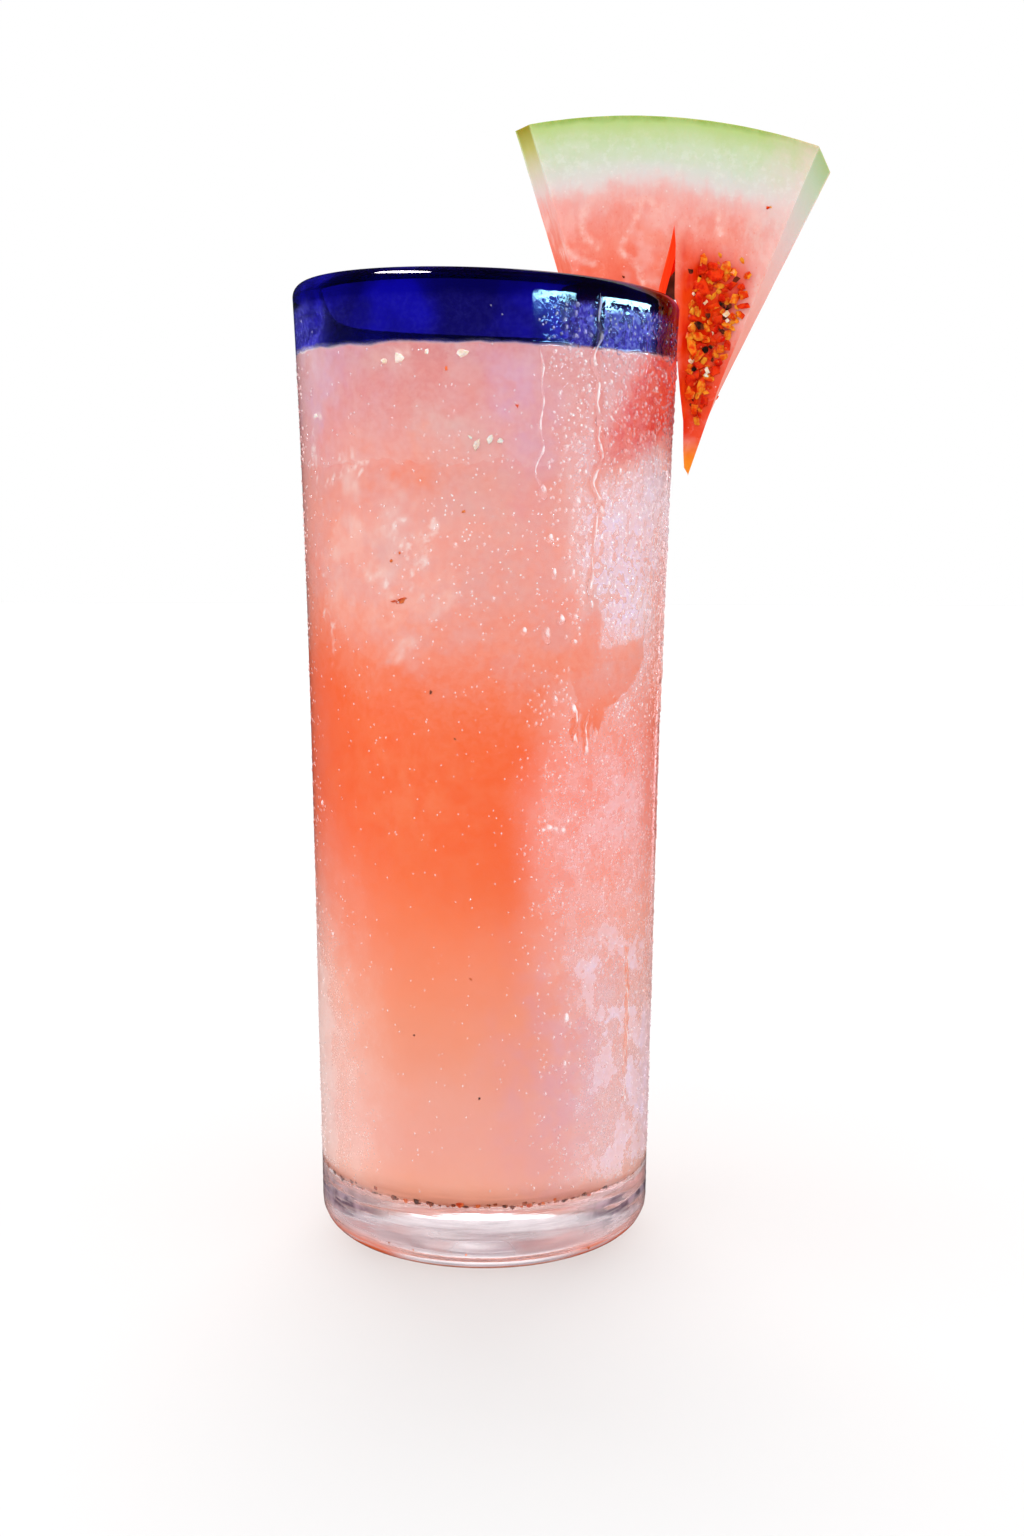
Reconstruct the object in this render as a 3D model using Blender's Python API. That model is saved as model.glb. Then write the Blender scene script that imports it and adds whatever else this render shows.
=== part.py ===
# Watermelon cocktail: a tall hand-blown tumbler with a cobalt lip, filled with a pink drink,
# four ice cubes that stand out of it, and a slit watermelon wedge riding on the lip,
# its outer leg crusted with chili and salt flakes.
#
# Metres, +Z up. The origin is the middle of the underside of the glass.
# +X points to the side of the lip that carries the wedge, -Y is the side the wedge shows.

import math
import random

import bmesh
import bpy
from mathutils import Matrix, Vector

MM = 0.001
GAP = 0.3 * MM

# Glass
GLASS_HEIGHT = 178.0 * MM
BASE_RADIUS = 31.7 * MM
FLARE = 4.4 * MM
FLARE_STRAIGHT = 0.60
FOOT_ROUNDING = 5.7 * MM
WALL = 3.2 * MM
FLOOR_HEIGHT = 11.6 * MM
FLOOR_ROUNDING = 5.5 * MM
LIP_ROUNDING = 2.35 * MM
LIP_BEAD = 4.6 * MM
BEAD_HEIGHT = 13.0 * MM
LIP_SLANT = 0.035
BAND_HEIGHT = 12.4 * MM
ROUND_STEPS = 64

# Drink
DRINK_LEVEL = 151.0 * MM
DRINK_EDGE_RISE = 0.8 * MM

# Room that the drink leaves round the wedge's inner leg
LEG_CLEARANCE = 0.35 * MM
LEG_CLEARANCE_TOP = 166.0 * MM
INNER_LEG_LIMIT = 33.5 * MM

# Ice: middle of the cube, turn in degrees about X, Y and Z, and its three sides
ICE_ROUNDING = 2.0 * MM
ICE_CUBES = (
    ("ice_front_left", (-13.7, -11.9, 152.2), (-15.0, 12.0, 34.7), (19.0, 18.8, 19.2)),
    ("ice_front_right", (10.6, -16.5, 155.4), (15.0, -4.0, 7.0), (17.5, 16.0, 17.3)),
    ("ice_back_left", (-11.1, 13.6, 157.2), (-5.3, -0.7, 16.1), (18.5, 17.6, 18.8)),
    ("ice_back_right", (11.5, 16.0, 155.0), (-10.5, 5.4, 45.9), (17.5, 17.0, 17.1)),
)

# Watermelon wedge: a sector of a round slice. The cut faces are upright planes at
# y = -8 mm and y = +8 mm; the back face is a little wider than the front one.
WEDGE_HALF_THICKNESS = 8.0 * MM
WEDGE_POINT_Z = 127.9 * MM
FRONT_POINT_X = 29.7 * MM
BACK_POINT_X = 28.5 * MM
FRONT_LEFT_DEG = 15.4
BACK_LEFT_DEG = 15.9
FRONT_RIGHT_DEG = 21.9
BACK_RIGHT_DEG = 26.2
FRONT_REACH = 81.0 * MM
BACK_REACH = 82.9 * MM
FRONT_LEAN = 0.6 * MM
BACK_LEAN = 2.2 * MM
RIND_FLATNESS = 1.2 * MM
SKIN = 1.0 * MM
GREEN_RIND = 9.0 * MM
WHITE_RIND = 13.5 * MM
CUT_SWELL = 0.5 * MM
LEFT_HOLLOW = 1.0 * MM
RIGHT_HOLLOW = 0.2 * MM
TIP_SWELL = 2.0 * MM

# Slit of the wedge, seen on the front face: its apex, and its two edges going down.
# The knife went in at a slant, so the slit moves to the right towards the back.
SLIT_APEX = (34.2, 189.5)
SLIT_INNER_EDGE = ((33.5, 186.0), (31.6, 178.5), (30.2, 170.0), (29.5, 162.5), (27.5, 152.0))
INNER_LEG_TIP = ((26.2, 144.2), (25.6, 142.4), (24.8, 141.7), (24.0, 142.4), (20.0, 138.0))
SLIT_OUTER_EDGE = ((37.3, 144.9), (36.6, 146.0), (36.4, 149.0), (36.3, 154.5), (35.6, 160.0),
                   (35.0, 166.0), (34.6, 172.0), (34.4, 178.0), (34.5, 186.0))
SLIT_SLANT = 0.15

# Chili and salt flakes
FLAKE_SEED = 11
FRONT_FLAKES = 84
BACK_FLAKES = 44
STRAY_FLAKES = ((51.7, 191.8, 0.9), (43.6, 184.6, 1.1), (47.3, 183.2, 1.4), (38.5, 181.6, 1.2),
                (45.6, 179.8, 1.3), (29.1, 182.2, 0.8))


def clear_scene():
    for item in list(bpy.data.objects):
        bpy.data.objects.remove(item, do_unlink=True)


def make_material(name, colour, roughness, transmission=0.0, ior=1.45):
    material = bpy.data.materials.new(name)
    material.use_nodes = True
    shader = material.node_tree.nodes["Principled BSDF"]
    shader.inputs["Base Color"].default_value = (*colour, 1.0)
    shader.inputs["Roughness"].default_value = roughness
    shader.inputs["Metallic"].default_value = 0.0
    shader.inputs["Transmission Weight"].default_value = transmission
    shader.inputs["IOR"].default_value = ior
    material.diffuse_color = (*colour, 1.0)
    return material


def mesh_object(name, bm, materials, parent):
    mesh = bpy.data.meshes.new(name)
    bm.normal_update()
    bm.to_mesh(mesh)
    bm.free()
    item = bpy.data.objects.new(name, mesh)
    bpy.context.scene.collection.objects.link(item)
    for material in materials:
        mesh.materials.append(material)
    item.parent = parent
    return item


def smooth_shade(item, angle=35.0):
    item.data.shade_smooth()
    item.data.set_sharp_from_angle(angle=math.radians(angle))


def apply_modifiers(item):
    graph = bpy.context.evaluated_depsgraph_get()
    mesh = bpy.data.meshes.new_from_object(item.evaluated_get(graph))
    mesh.name = item.name
    item.modifiers.clear()
    item.data = mesh


# Turned shapes


def arc(centre_r, centre_z, radius, start, end, steps):
    points = []
    for i in range(steps + 1):
        angle = math.radians(start + (end - start) * i / steps)
        points.append((centre_r + radius * math.cos(angle), centre_z + radius * math.sin(angle)))
    return points


def turned_bmesh(profile, steps):
    # The profile runs from the axis round to the axis again; it is spun about Z.
    bm = bmesh.new()
    verts = [bm.verts.new((r, 0.0, z)) for r, z in profile]
    edges = [bm.edges.new(pair) for pair in zip(verts, verts[1:])]
    bmesh.ops.spin(bm, geom=verts + edges, cent=(0, 0, 0), axis=(0, 0, 1),
                   angle=math.tau, steps=steps, use_merge=True)
    bmesh.ops.remove_doubles(bm, verts=bm.verts, dist=0.00001)
    bmesh.ops.recalc_face_normals(bm, faces=bm.faces)
    return bm


# Glass


def outer_radius(z):
    t = z / GLASS_HEIGHT
    return BASE_RADIUS + FLARE * (FLARE_STRAIGHT * t + (1.0 - FLARE_STRAIGHT) * t ** 4)


def inner_radius(z):
    # The wall thickens into a rounded bead towards the lip.
    start = GLASS_HEIGHT - BEAD_HEIGHT
    t = min(max((z - start) / (BEAD_HEIGHT - LIP_ROUNDING), 0.0), 1.0)
    ease = t * t * (3.0 - 2.0 * t)
    return outer_radius(z) - WALL - (LIP_BEAD - WALL) * ease


def slanted(point):
    # The lip of the blown glass sits slightly askew: lower on the wedge's side.
    lift = -point.x * LIP_SLANT * (point.z / GLASS_HEIGHT) ** 3
    return Vector((point.x, point.y, point.z + lift))


def glass_profile():
    lip_z = GLASS_HEIGHT - LIP_ROUNDING
    lip_r = outer_radius(lip_z) - LIP_BEAD / 2
    foot_r = outer_radius(FOOT_ROUNDING) - FOOT_ROUNDING
    points = [(0.0, 0.0)]
    points += arc(foot_r, FOOT_ROUNDING, FOOT_ROUNDING, -90, 0, 6)
    band_edge = GLASS_HEIGHT - BAND_HEIGHT
    for height in (20 * MM, 60 * MM, 100 * MM, 130 * MM, 150 * MM, band_edge, 171 * MM):
        points.append((outer_radius(height), height))
    for r, z in arc(0, 0, 1, 0, 180, 8):
        points.append((lip_r + LIP_BEAD / 2 * r, lip_z + LIP_ROUNDING * z))
    for height in (172 * MM, 169 * MM, band_edge, 161 * MM, 150 * MM, 130 * MM, 100 * MM, 60 * MM, 30 * MM):
        points.append((inner_radius(height), height))
    corner_z = FLOOR_HEIGHT + FLOOR_ROUNDING
    corner_r = inner_radius(corner_z) - FLOOR_ROUNDING
    points += arc(corner_r, corner_z, FLOOR_ROUNDING, 0, -90, 5)
    points.append((0.0, FLOOR_HEIGHT))
    return points


def make_glass(clear, cobalt, parent):
    bm = turned_bmesh(glass_profile(), ROUND_STEPS)
    for face in bm.faces:
        if face.calc_center_median().z > GLASS_HEIGHT - BAND_HEIGHT + 0.1 * MM:
            face.material_index = 1
        face.smooth = True
    for vert in bm.verts:
        vert.co = slanted(vert.co)
    glass = mesh_object("glass", bm, (clear, cobalt), parent)
    smooth_shade(glass, 40.0)
    return glass


def make_wall_cutter():
    # The upper part of the glass wall, grown by the gap: what the wedge has to clear.
    profile = []
    for height in (120, 130, 150, 162, 170):
        profile.append((outer_radius(height * MM) + GAP, height * MM))
    lip_z = GLASS_HEIGHT - LIP_ROUNDING
    lip_r = outer_radius(lip_z) - LIP_BEAD / 2
    for r, z in arc(0, 0, 1, 0, 180, 8):
        profile.append((lip_r + (LIP_BEAD / 2 + GAP) * r, lip_z + (LIP_ROUNDING + GAP) * z))
    for height in (172, 169, 166, 162, 150, 130, 120):
        profile.append((inner_radius(height * MM) - GAP, height * MM))
    bm = bmesh.new()
    verts = [bm.verts.new((r, 0.0, z)) for r, z in profile]
    edges = [bm.edges.new(pair) for pair in zip(verts, verts[1:] + verts[:1])]
    bmesh.ops.spin(bm, geom=verts + edges, cent=(0, 0, 0), axis=(0, 0, 1),
                   angle=math.tau, steps=ROUND_STEPS, use_merge=True)
    bmesh.ops.remove_doubles(bm, verts=bm.verts, dist=0.00001)
    bmesh.ops.recalc_face_normals(bm, faces=bm.faces)
    for vert in bm.verts:
        vert.co = slanted(vert.co)
    return bm


# Wedge


def wedge_section(depth):
    # depth runs from 0 on the front face to 1 on the back face
    front = (FRONT_POINT_X, FRONT_LEFT_DEG, FRONT_RIGHT_DEG, FRONT_REACH, FRONT_LEAN)
    back = (BACK_POINT_X, BACK_LEFT_DEG, BACK_RIGHT_DEG, BACK_REACH, BACK_LEAN)
    return [a + (b - a) * depth for a, b in zip(front, back)]


def wedge_point(depth, along, across):
    # along: 0 at the point, 1 at the skin. across: 0 at the left edge, 1 at the right edge.
    point_x, left, right, reach, lean = wedge_section(depth)
    angle = math.radians(-left + (left + right) * across)
    flat = RIND_FLATNESS * ((2.0 * across - 1.0) ** 2 - 0.33)
    radius = (reach + lean * (0.5 - across) + flat) * along
    hollow = (RIGHT_HOLLOW * across - LEFT_HOLLOW * (1.0 - across)) * math.sin(math.pi * along)
    tip = TIP_SWELL * across * max(0.0, 1.0 - along / 0.45)
    x = point_x + radius * math.sin(angle) - hollow + tip
    z = WEDGE_POINT_Z + radius * math.cos(angle)
    # The cut faces are not quite flat.
    swell = CUT_SWELL * math.sin(0.9 + 5.0 * along) * math.sin(0.6 + 4.0 * across) * (1.0 - depth * 2.0)
    y = -WEDGE_HALF_THICKNESS + 2.0 * WEDGE_HALF_THICKNESS * depth
    return Vector((x, y + swell * min(along * 3.0, 1.0), z))


def wedge_bmesh():
    skin = 1.0 - SKIN / FRONT_REACH
    green = 1.0 - GREEN_RIND / FRONT_REACH
    white = 1.0 - WHITE_RIND / FRONT_REACH
    alongs = [0.03, 0.18, 0.34, 0.48, 0.60, 0.72, white, green, skin, 1.0]
    depths = [0.0, 0.25, 0.75, 1.0]
    columns = 8
    bm = bmesh.new()
    rows = {}
    for d, depth in enumerate(depths):
        for a, along in enumerate(alongs):
            for c in range(columns + 1):
                inside = 0 < d < len(depths) - 1 and 0 < a < len(alongs) - 1 and 0 < c < columns
                if not inside:
                    rows[d, a, c] = bm.verts.new(wedge_point(depth, along, c / columns))

    def material_of(a):
        return {6: 1, 7: 2, 8: 3}.get(a, 0)

    last_d, last_a, last_c = len(depths) - 1, len(alongs) - 1, columns

    def patch(keys, index):
        face = bm.faces.new([rows[key] for key in keys])
        face.material_index = index

    for a in range(last_a):
        for c in range(last_c):
            patch([(0, a, c), (0, a, c + 1), (0, a + 1, c + 1), (0, a + 1, c)], material_of(a))
            patch([(last_d, a, c), (last_d, a + 1, c), (last_d, a + 1, c + 1), (last_d, a, c + 1)],
                  material_of(a))
        for d in range(last_d):
            patch([(d, a, 0), (d, a + 1, 0), (d + 1, a + 1, 0), (d + 1, a, 0)], material_of(a))
            patch([(d, a, last_c), (d + 1, a, last_c), (d + 1, a + 1, last_c), (d, a + 1, last_c)],
                  material_of(a))
    for c in range(last_c):
        for d in range(last_d):
            patch([(d, 0, c), (d + 1, 0, c), (d + 1, 0, c + 1), (d, 0, c + 1)], 0)
            patch([(d, last_a, c), (d, last_a, c + 1), (d + 1, last_a, c + 1), (d + 1, last_a, c)], 3)
    bmesh.ops.recalc_face_normals(bm, faces=bm.faces)
    return bm


def slit_bmesh(outline, y_front, y_back):
    bm = bmesh.new()
    shift = (y_front + WEDGE_HALF_THICKNESS) * SLIT_SLANT
    front = [bm.verts.new((x * MM + shift, y_front, z * MM)) for x, z in outline]
    face = bm.faces.new(front)
    pushed = bmesh.ops.extrude_face_region(bm, geom=[face])
    moved = [item for item in pushed["geom"] if isinstance(item, bmesh.types.BMVert)]
    depth = y_back - y_front
    bmesh.ops.translate(bm, verts=moved, vec=(depth * SLIT_SLANT, depth, 0.0))
    bmesh.ops.recalc_face_normals(bm, faces=bm.faces)
    return bm


def cutter_object(name, bm, parent):
    cutter = mesh_object(name, bm, (), parent)
    cutter.hide_render = True
    cutter.display_type = "WIRE"
    return cutter


def cut(item, cutter):
    step = item.modifiers.new("cut_" + cutter.name, "BOOLEAN")
    step.operation = "DIFFERENCE"
    step.solver = "EXACT"
    step.object = cutter
    return step


def surface_y(item, x, z, from_front):
    # The y of the wedge's cut face under the point x, z, or None beside the wedge
    start = Vector((x, -0.05 if from_front else 0.05, z))
    hit, place, normal, index = item.ray_cast(start, Vector((0, 1 if from_front else -1, 0)))
    if not hit or abs(normal.y) < 0.7 or abs(place.y) < 0.6 * WEDGE_HALF_THICKNESS:
        return None
    return place.y


def flake_mesh(rng, size):
    # A thin, broken chip: an uneven polygon with a raised, tilted top
    corners = rng.choice((5, 5, 6))
    thick = size * rng.uniform(0.35, 0.7)
    squeeze = rng.uniform(0.6, 1.0)
    bm = bmesh.new()
    low = []
    high = []
    for i in range(corners):
        angle = math.tau * (i + rng.uniform(-0.25, 0.25)) / corners
        radius = size * rng.uniform(0.36, 0.58)
        x = radius * math.cos(angle)
        y = radius * math.sin(angle) * squeeze
        low.append(bm.verts.new((x, y, -0.55 * size)))
        high.append(bm.verts.new((x * 0.8, y * 0.8, thick * rng.uniform(0.75, 1.1))))
    bm.faces.new(list(reversed(low)))
    for i in range(corners):
        j = (i + 1) % corners
        bm.faces.new((low[i], low[j], high[j], high[i]))
    peak = bm.verts.new((0.0, 0.0, thick * rng.uniform(1.0, 1.35)))
    for i in range(corners):
        bm.faces.new((high[i], high[(i + 1) % corners], peak))
    bmesh.ops.recalc_face_normals(bm, faces=bm.faces)
    return bm


def flake_spot(rng):
    # Densest down the middle of the outer leg, thinning out above it
    z = rng.triangular(148.5, 186.0, 174.0)
    left = 37.4 + 0.45 * max(0.0, 158.0 - z) * 0.6
    right = 30.0 + (z - 127.9) * math.tan(math.radians(22.4)) - 1.6
    if z > 177.0:
        left += (z - 177.0) * 0.35
        right -= (z - 177.0) * 0.8
    return rng.uniform(left, max(right, left + 0.4)), z


def scatter_flakes(wedge, count, from_front, rng, material, group, parent):
    spots = []
    if from_front:
        spots += [(x * MM, z * MM, size * MM) for x, z, size in STRAY_FLAKES]
    tries = 0
    while len(spots) < count and tries < 6000:
        tries += 1
        x, z = flake_spot(rng)
        size = rng.triangular(0.9, 3.0, 1.5)
        near = min([math.hypot(x * MM - s[0], z * MM - s[1]) - 0.42 * (s[2] + size * MM)
                    for s in spots] or [1.0])
        if near > 0.0:
            spots.append((x * MM, z * MM, size * MM))
    for number, (x, z, size) in enumerate(spots):
        y = surface_y(wedge, x, z, from_front)
        edge = 0.75 * size
        around = [surface_y(wedge, x + dx, z + dz, from_front)
                  for dx, dz in ((edge, 0), (-edge, 0), (0, edge), (0, -edge))]
        if y is None or None in around:
            continue
        bm = flake_mesh(rng, size)
        facing = Matrix.Rotation(math.radians(90 if from_front else -90), 4, "X")
        turn = Matrix.Rotation(rng.uniform(0, math.tau), 4, "Z")
        tilt = Matrix.Rotation(rng.uniform(-0.3, 0.3), 4, "X")
        bm.transform(Matrix.Translation((x, y, z)) @ facing @ turn @ tilt)
        side = "front" if from_front else "back"
        flake = mesh_object(f"flake_{side}_{number}", bm, (material,), parent)
        group.objects.link(flake)


def leg_clearance_bmesh(wedge):
    # The inner leg of the wedge, grown all round, from its tip up past the drink's surface
    grow = LEG_CLEARANCE
    bm = bmesh.new()
    for vert in wedge.data.vertices:
        place = vert.co
        if place.x < INNER_LEG_LIMIT and place.z < LEG_CLEARANCE_TOP:
            for corner in range(8):
                side = [grow if corner >> axis & 1 else -grow for axis in range(3)]
                bm.verts.new(place + Vector(side))
    hull = bmesh.ops.convex_hull(bm, input=bm.verts)
    spare = {item for item in hull["geom_interior"] + hull["geom_unused"]
             if isinstance(item, bmesh.types.BMVert)}
    bmesh.ops.delete(bm, geom=list(spare), context="VERTS")
    bmesh.ops.remove_doubles(bm, verts=bm.verts, dist=0.00001)
    bmesh.ops.recalc_face_normals(bm, faces=bm.faces)
    return bm


def make_wedge(materials, parent):
    wedge = mesh_object("wedge", wedge_bmesh(), materials, parent)
    outline = (SLIT_APEX,) + SLIT_INNER_EDGE + INNER_LEG_TIP
    outline += ((24.0, 118.0), (39.0, 118.0)) + SLIT_OUTER_EDGE
    slit = cutter_object("slit_cutter", slit_bmesh(outline, -0.02, 0.02), parent)
    wall = cutter_object("wall_cutter", make_wall_cutter(), parent)
    cut(wedge, slit)
    cut(wedge, wall)
    apply_modifiers(wedge)
    bpy.context.view_layer.update()
    clearance = leg_clearance_bmesh(wedge)
    group = bpy.data.collections.new("flakes")
    rng = random.Random(FLAKE_SEED)
    scatter_flakes(wedge, FRONT_FLAKES, True, rng, materials[4], group, parent)
    scatter_flakes(wedge, BACK_FLAKES, False, rng, materials[4], group, parent)
    fuse = wedge.modifiers.new("fuse_flakes", "BOOLEAN")
    fuse.operation = "UNION"
    fuse.operand_type = "COLLECTION"
    fuse.collection = group
    fuse.solver = "EXACT"
    apply_modifiers(wedge)
    for item in list(group.objects) + [slit, wall]:
        bpy.data.objects.remove(item, do_unlink=True)
    bpy.data.collections.remove(group)
    smooth_shade(wedge, 30.0)
    return clearance


# Ice


def ice_bmesh(sides, grow):
    bm = bmesh.new()
    bmesh.ops.create_cube(bm, size=1.0)
    for vert in bm.verts:
        vert.co = Vector([vert.co[i] * (sides[i] * MM + 2.0 * grow) for i in range(3)])
    bmesh.ops.bevel(bm, geom=list(bm.edges) + list(bm.verts), offset=ICE_ROUNDING + grow,
                    segments=3, profile=0.5, affect="EDGES")
    bmesh.ops.recalc_face_normals(bm, faces=bm.faces)
    return bm


def place_ice(item, middle, turn):
    item.location = Vector(middle) * MM
    item.rotation_euler = [math.radians(angle) for angle in turn]


def make_ice(material, parent):
    cubes = []
    for name, middle, turn, sides in ICE_CUBES:
        cube = mesh_object(name, ice_bmesh(sides, 0.0), (material,), parent)
        place_ice(cube, middle, turn)
        smooth_shade(cube, 40.0)
        cubes.append(cube)
    return cubes


# Drink


def drink_profile():
    bottom = FLOOR_HEIGHT + GAP
    corner_z = FLOOR_HEIGHT + FLOOR_ROUNDING
    corner_r = inner_radius(corner_z) - FLOOR_ROUNDING
    points = [(0.0, bottom)]
    points += arc(corner_r, corner_z, FLOOR_ROUNDING - GAP, -90, 0, 5)
    for height in (30, 48, 68, 90, 112, 132):
        points.append((inner_radius(height * MM) - GAP, height * MM))
    edge = DRINK_LEVEL + DRINK_EDGE_RISE
    points.append((inner_radius(edge) - GAP, edge))
    points.append((inner_radius(edge) - GAP - 1.2 * MM, DRINK_LEVEL + 0.1 * MM))
    points.append((inner_radius(edge) - GAP - 3.0 * MM, DRINK_LEVEL))
    points.append((0.0, DRINK_LEVEL))
    return points


def make_drink(material, leg_clearance, parent):
    drink = mesh_object("drink", turned_bmesh(drink_profile(), ROUND_STEPS), (material,), parent)
    cutters = [cutter_object("leg_clearance", leg_clearance, parent)]
    for name, middle, turn, sides in ICE_CUBES:
        cutter = cutter_object(name + "_clearance", ice_bmesh(sides, GAP), parent)
        place_ice(cutter, middle, turn)
        cutters.append(cutter)
    for cutter in cutters:
        cut(drink, cutter)
    bpy.context.view_layer.update()
    apply_modifiers(drink)
    for cutter in cutters:
        bpy.data.objects.remove(cutter, do_unlink=True)
    smooth_shade(drink, 40.0)
    return drink


def build():
    clear_scene()
    root = bpy.data.objects.new("watermelon_cocktail", None)
    bpy.context.scene.collection.objects.link(root)
    clear = make_material("clear_glass", (0.93, 0.94, 0.96), 0.03, transmission=1.0, ior=1.50)
    cobalt = make_material("cobalt_glass", (0.015, 0.02, 0.32), 0.04, transmission=0.5, ior=1.50)
    juice = make_material("pink_drink", (0.86, 0.30, 0.20), 0.15)
    ice = make_material("wet_ice", (0.90, 0.78, 0.76), 0.12, transmission=0.6, ior=1.31)
    flesh = make_material("melon_flesh", (0.80, 0.17, 0.12), 0.35)
    white = make_material("white_rind", (0.80, 0.78, 0.68), 0.40)
    green = make_material("green_rind", (0.56, 0.70, 0.28), 0.40)
    skin = make_material("melon_skin", (0.16, 0.34, 0.05), 0.35)
    flake = make_material("chili_flakes", (0.62, 0.10, 0.01), 0.30)
    make_glass(clear, cobalt, root)
    make_ice(ice, root)
    leg_clearance = make_wedge((flesh, white, green, skin, flake), root)
    make_drink(juice, leg_clearance, root)


build()
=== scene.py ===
import math

import bmesh
import bpy
import numpy as np
from mathutils import Matrix, Vector


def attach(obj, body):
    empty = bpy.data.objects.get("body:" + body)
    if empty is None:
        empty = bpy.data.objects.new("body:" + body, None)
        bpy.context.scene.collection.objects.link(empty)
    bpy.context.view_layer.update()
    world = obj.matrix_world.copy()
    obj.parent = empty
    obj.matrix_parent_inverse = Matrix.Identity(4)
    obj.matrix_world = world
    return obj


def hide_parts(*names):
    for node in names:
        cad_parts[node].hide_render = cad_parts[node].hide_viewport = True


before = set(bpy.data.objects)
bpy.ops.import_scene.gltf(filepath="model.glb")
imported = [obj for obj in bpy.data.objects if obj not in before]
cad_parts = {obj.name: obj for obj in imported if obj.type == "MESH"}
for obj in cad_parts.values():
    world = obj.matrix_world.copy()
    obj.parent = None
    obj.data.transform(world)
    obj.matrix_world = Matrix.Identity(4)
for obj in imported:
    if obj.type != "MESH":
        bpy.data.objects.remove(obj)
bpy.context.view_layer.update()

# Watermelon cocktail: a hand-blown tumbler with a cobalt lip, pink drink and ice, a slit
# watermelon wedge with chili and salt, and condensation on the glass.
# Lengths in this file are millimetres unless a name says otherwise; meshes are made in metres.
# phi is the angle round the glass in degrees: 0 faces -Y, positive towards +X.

MM = 0.001

# Glass, the same numbers as in the CAD source
GLASS_HEIGHT = 178.0
BASE_RADIUS = 31.7
FLARE = 4.4
FLARE_STRAIGHT = 0.60
FOOT_ROUNDING = 5.7
WALL = 3.2
FLOOR_HEIGHT = 11.6
FLOOR_ROUNDING = 5.5
LIP_ROUNDING = 2.35
LIP_BEAD = 4.6
BEAD_HEIGHT = 13.0
LIP_SLANT = 0.035
DRINK_LEVEL = 151.0
DRINK_EDGE = 151.8
# Radius at which angles and lengths along the wall are turned into each other, the drops' own, and
# the length of a degree for the rivulets
WALL_RADIUS = 33.8
DROP_RADIUS = 34.0
DEGREE_LENGTH = 0.59
# How far drops sink into the glass, and how far the drink reaches into the wall or stays off it
SUNK = 0.16
DRINK_REACH = 0.15
DRINK_GAP = 0.06
FAR = 1e3

# Ice: middle of the cube, turn in degrees, three sides
ICE_ROUNDING = 2.6
ICE_CUBES = (
    ("ice_front_left", (-13.7, -11.9, 152.2), (-15.0, 12.0, 34.7), (19.0, 18.8, 19.2)),
    ("ice_front_right", (10.6, -16.5, 155.4), (15.0, -4.0, 7.0), (17.5, 16.0, 17.3)),
    ("ice_back_left", (-11.1, 13.6, 157.2), (-5.3, -0.7, 16.1), (18.5, 17.6, 18.8)),
    ("ice_back_right", (11.5, 16.0, 155.0), (-10.5, 5.4, 45.9), (17.5, 17.0, 17.1)),
)

# Wedge. A section is its point's x, left and right angle, reach, and how much further it reaches left
HALF_THICKNESS = 8.0
POINT_Z = 127.9
FRONT_SECTION = (29.7, 15.4, 21.9, 81.0, 0.6)
BACK_SECTION = (28.5, 15.9, 26.2, 82.9, 2.2)
RIND_FLATNESS = 1.2
CUT_SWELL = 0.5
LEFT_HOLLOW = 1.0
RIGHT_HOLLOW = 0.2
TIP_SWELL = 2.0
WALL_CLEARANCE = 0.3
# The slit at the front face, x and z: down its left wall, round its foot, up its right wall
SLIT_SLANT = 0.15
LEFT_WALL = ((34.2, 189.5), (33.5, 186.0), (31.6, 178.5), (30.2, 170.0), (29.5, 162.5), (27.5, 152.0))
SLIT_FOOT = ((26.2, 144.2), (25.6, 142.4), (24.8, 141.7), (24.0, 142.4), (20.0, 138.0), (24.0, 118.0),
             (39.0, 118.0), (37.3, 144.9), (36.6, 146.0))
RIGHT_WALL = ((36.4, 149.0), (36.3, 154.5), (35.6, 160.0), (35.0, 166.0), (34.6, 172.0), (34.4, 178.0),
              (34.5, 186.0))

# The room's brightness on surfaces, through the glass, and behind two see-through surfaces
WORLD_LIGHT = 1.02
THROUGH_GLASS = 1.62
INSIDE_GLASS = 0.93
# Soft suns round the scene: azimuth from the front and height in degrees, strength, spread
SOFT_SUNS = ((-75.0, 40.0, 0.36, 60.0), (-15.0, 40.0, 0.30, 60.0), (45.0, 40.0, 0.30, 60.0),
             (110.0, 40.0, 0.16, 60.0), (180.0, 52.0, 1.40, 40.0), (245.0, 40.0, 0.25, 60.0))
# Oval lights that show only in what shines: azimuth, distance, height and size in metres, tilt,
# colour, radiance
SHINE_LIGHTS = (
    ("lip_front", 39.0, 0.6, 0.1973, (0.27, 0.0050), 1.3, (0.34, 0.74, 1.0), 62.0),
    ("lip_side", 87.0, 0.6, 0.2095, (0.56, 0.0062), 2.4, (0.36, 0.78, 1.0), 58.0),
    ("lip_top", -70.0, 0.327, 0.678, (0.34, 0.17), 0.0, (1.0, 0.88, 0.96), 40.0),
    ("edge_right", 151.0, 0.6, 0.16, (0.05, 0.50), 0.0, (0.95, 0.90, 1.0), 3.0),
)
CAMERA_PLACE = (0.00510, -0.34409, 0.13071)
CAMERA_DOWN = 6.88
CAMERA_ROLL = 0.22
CAMERA_LENS = 42.1875
# How much brighter a white surface looks than its paint in this light, and the brightest paint
WHITE_GAIN = 1.05
BRIGHTEST = 0.93


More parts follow.
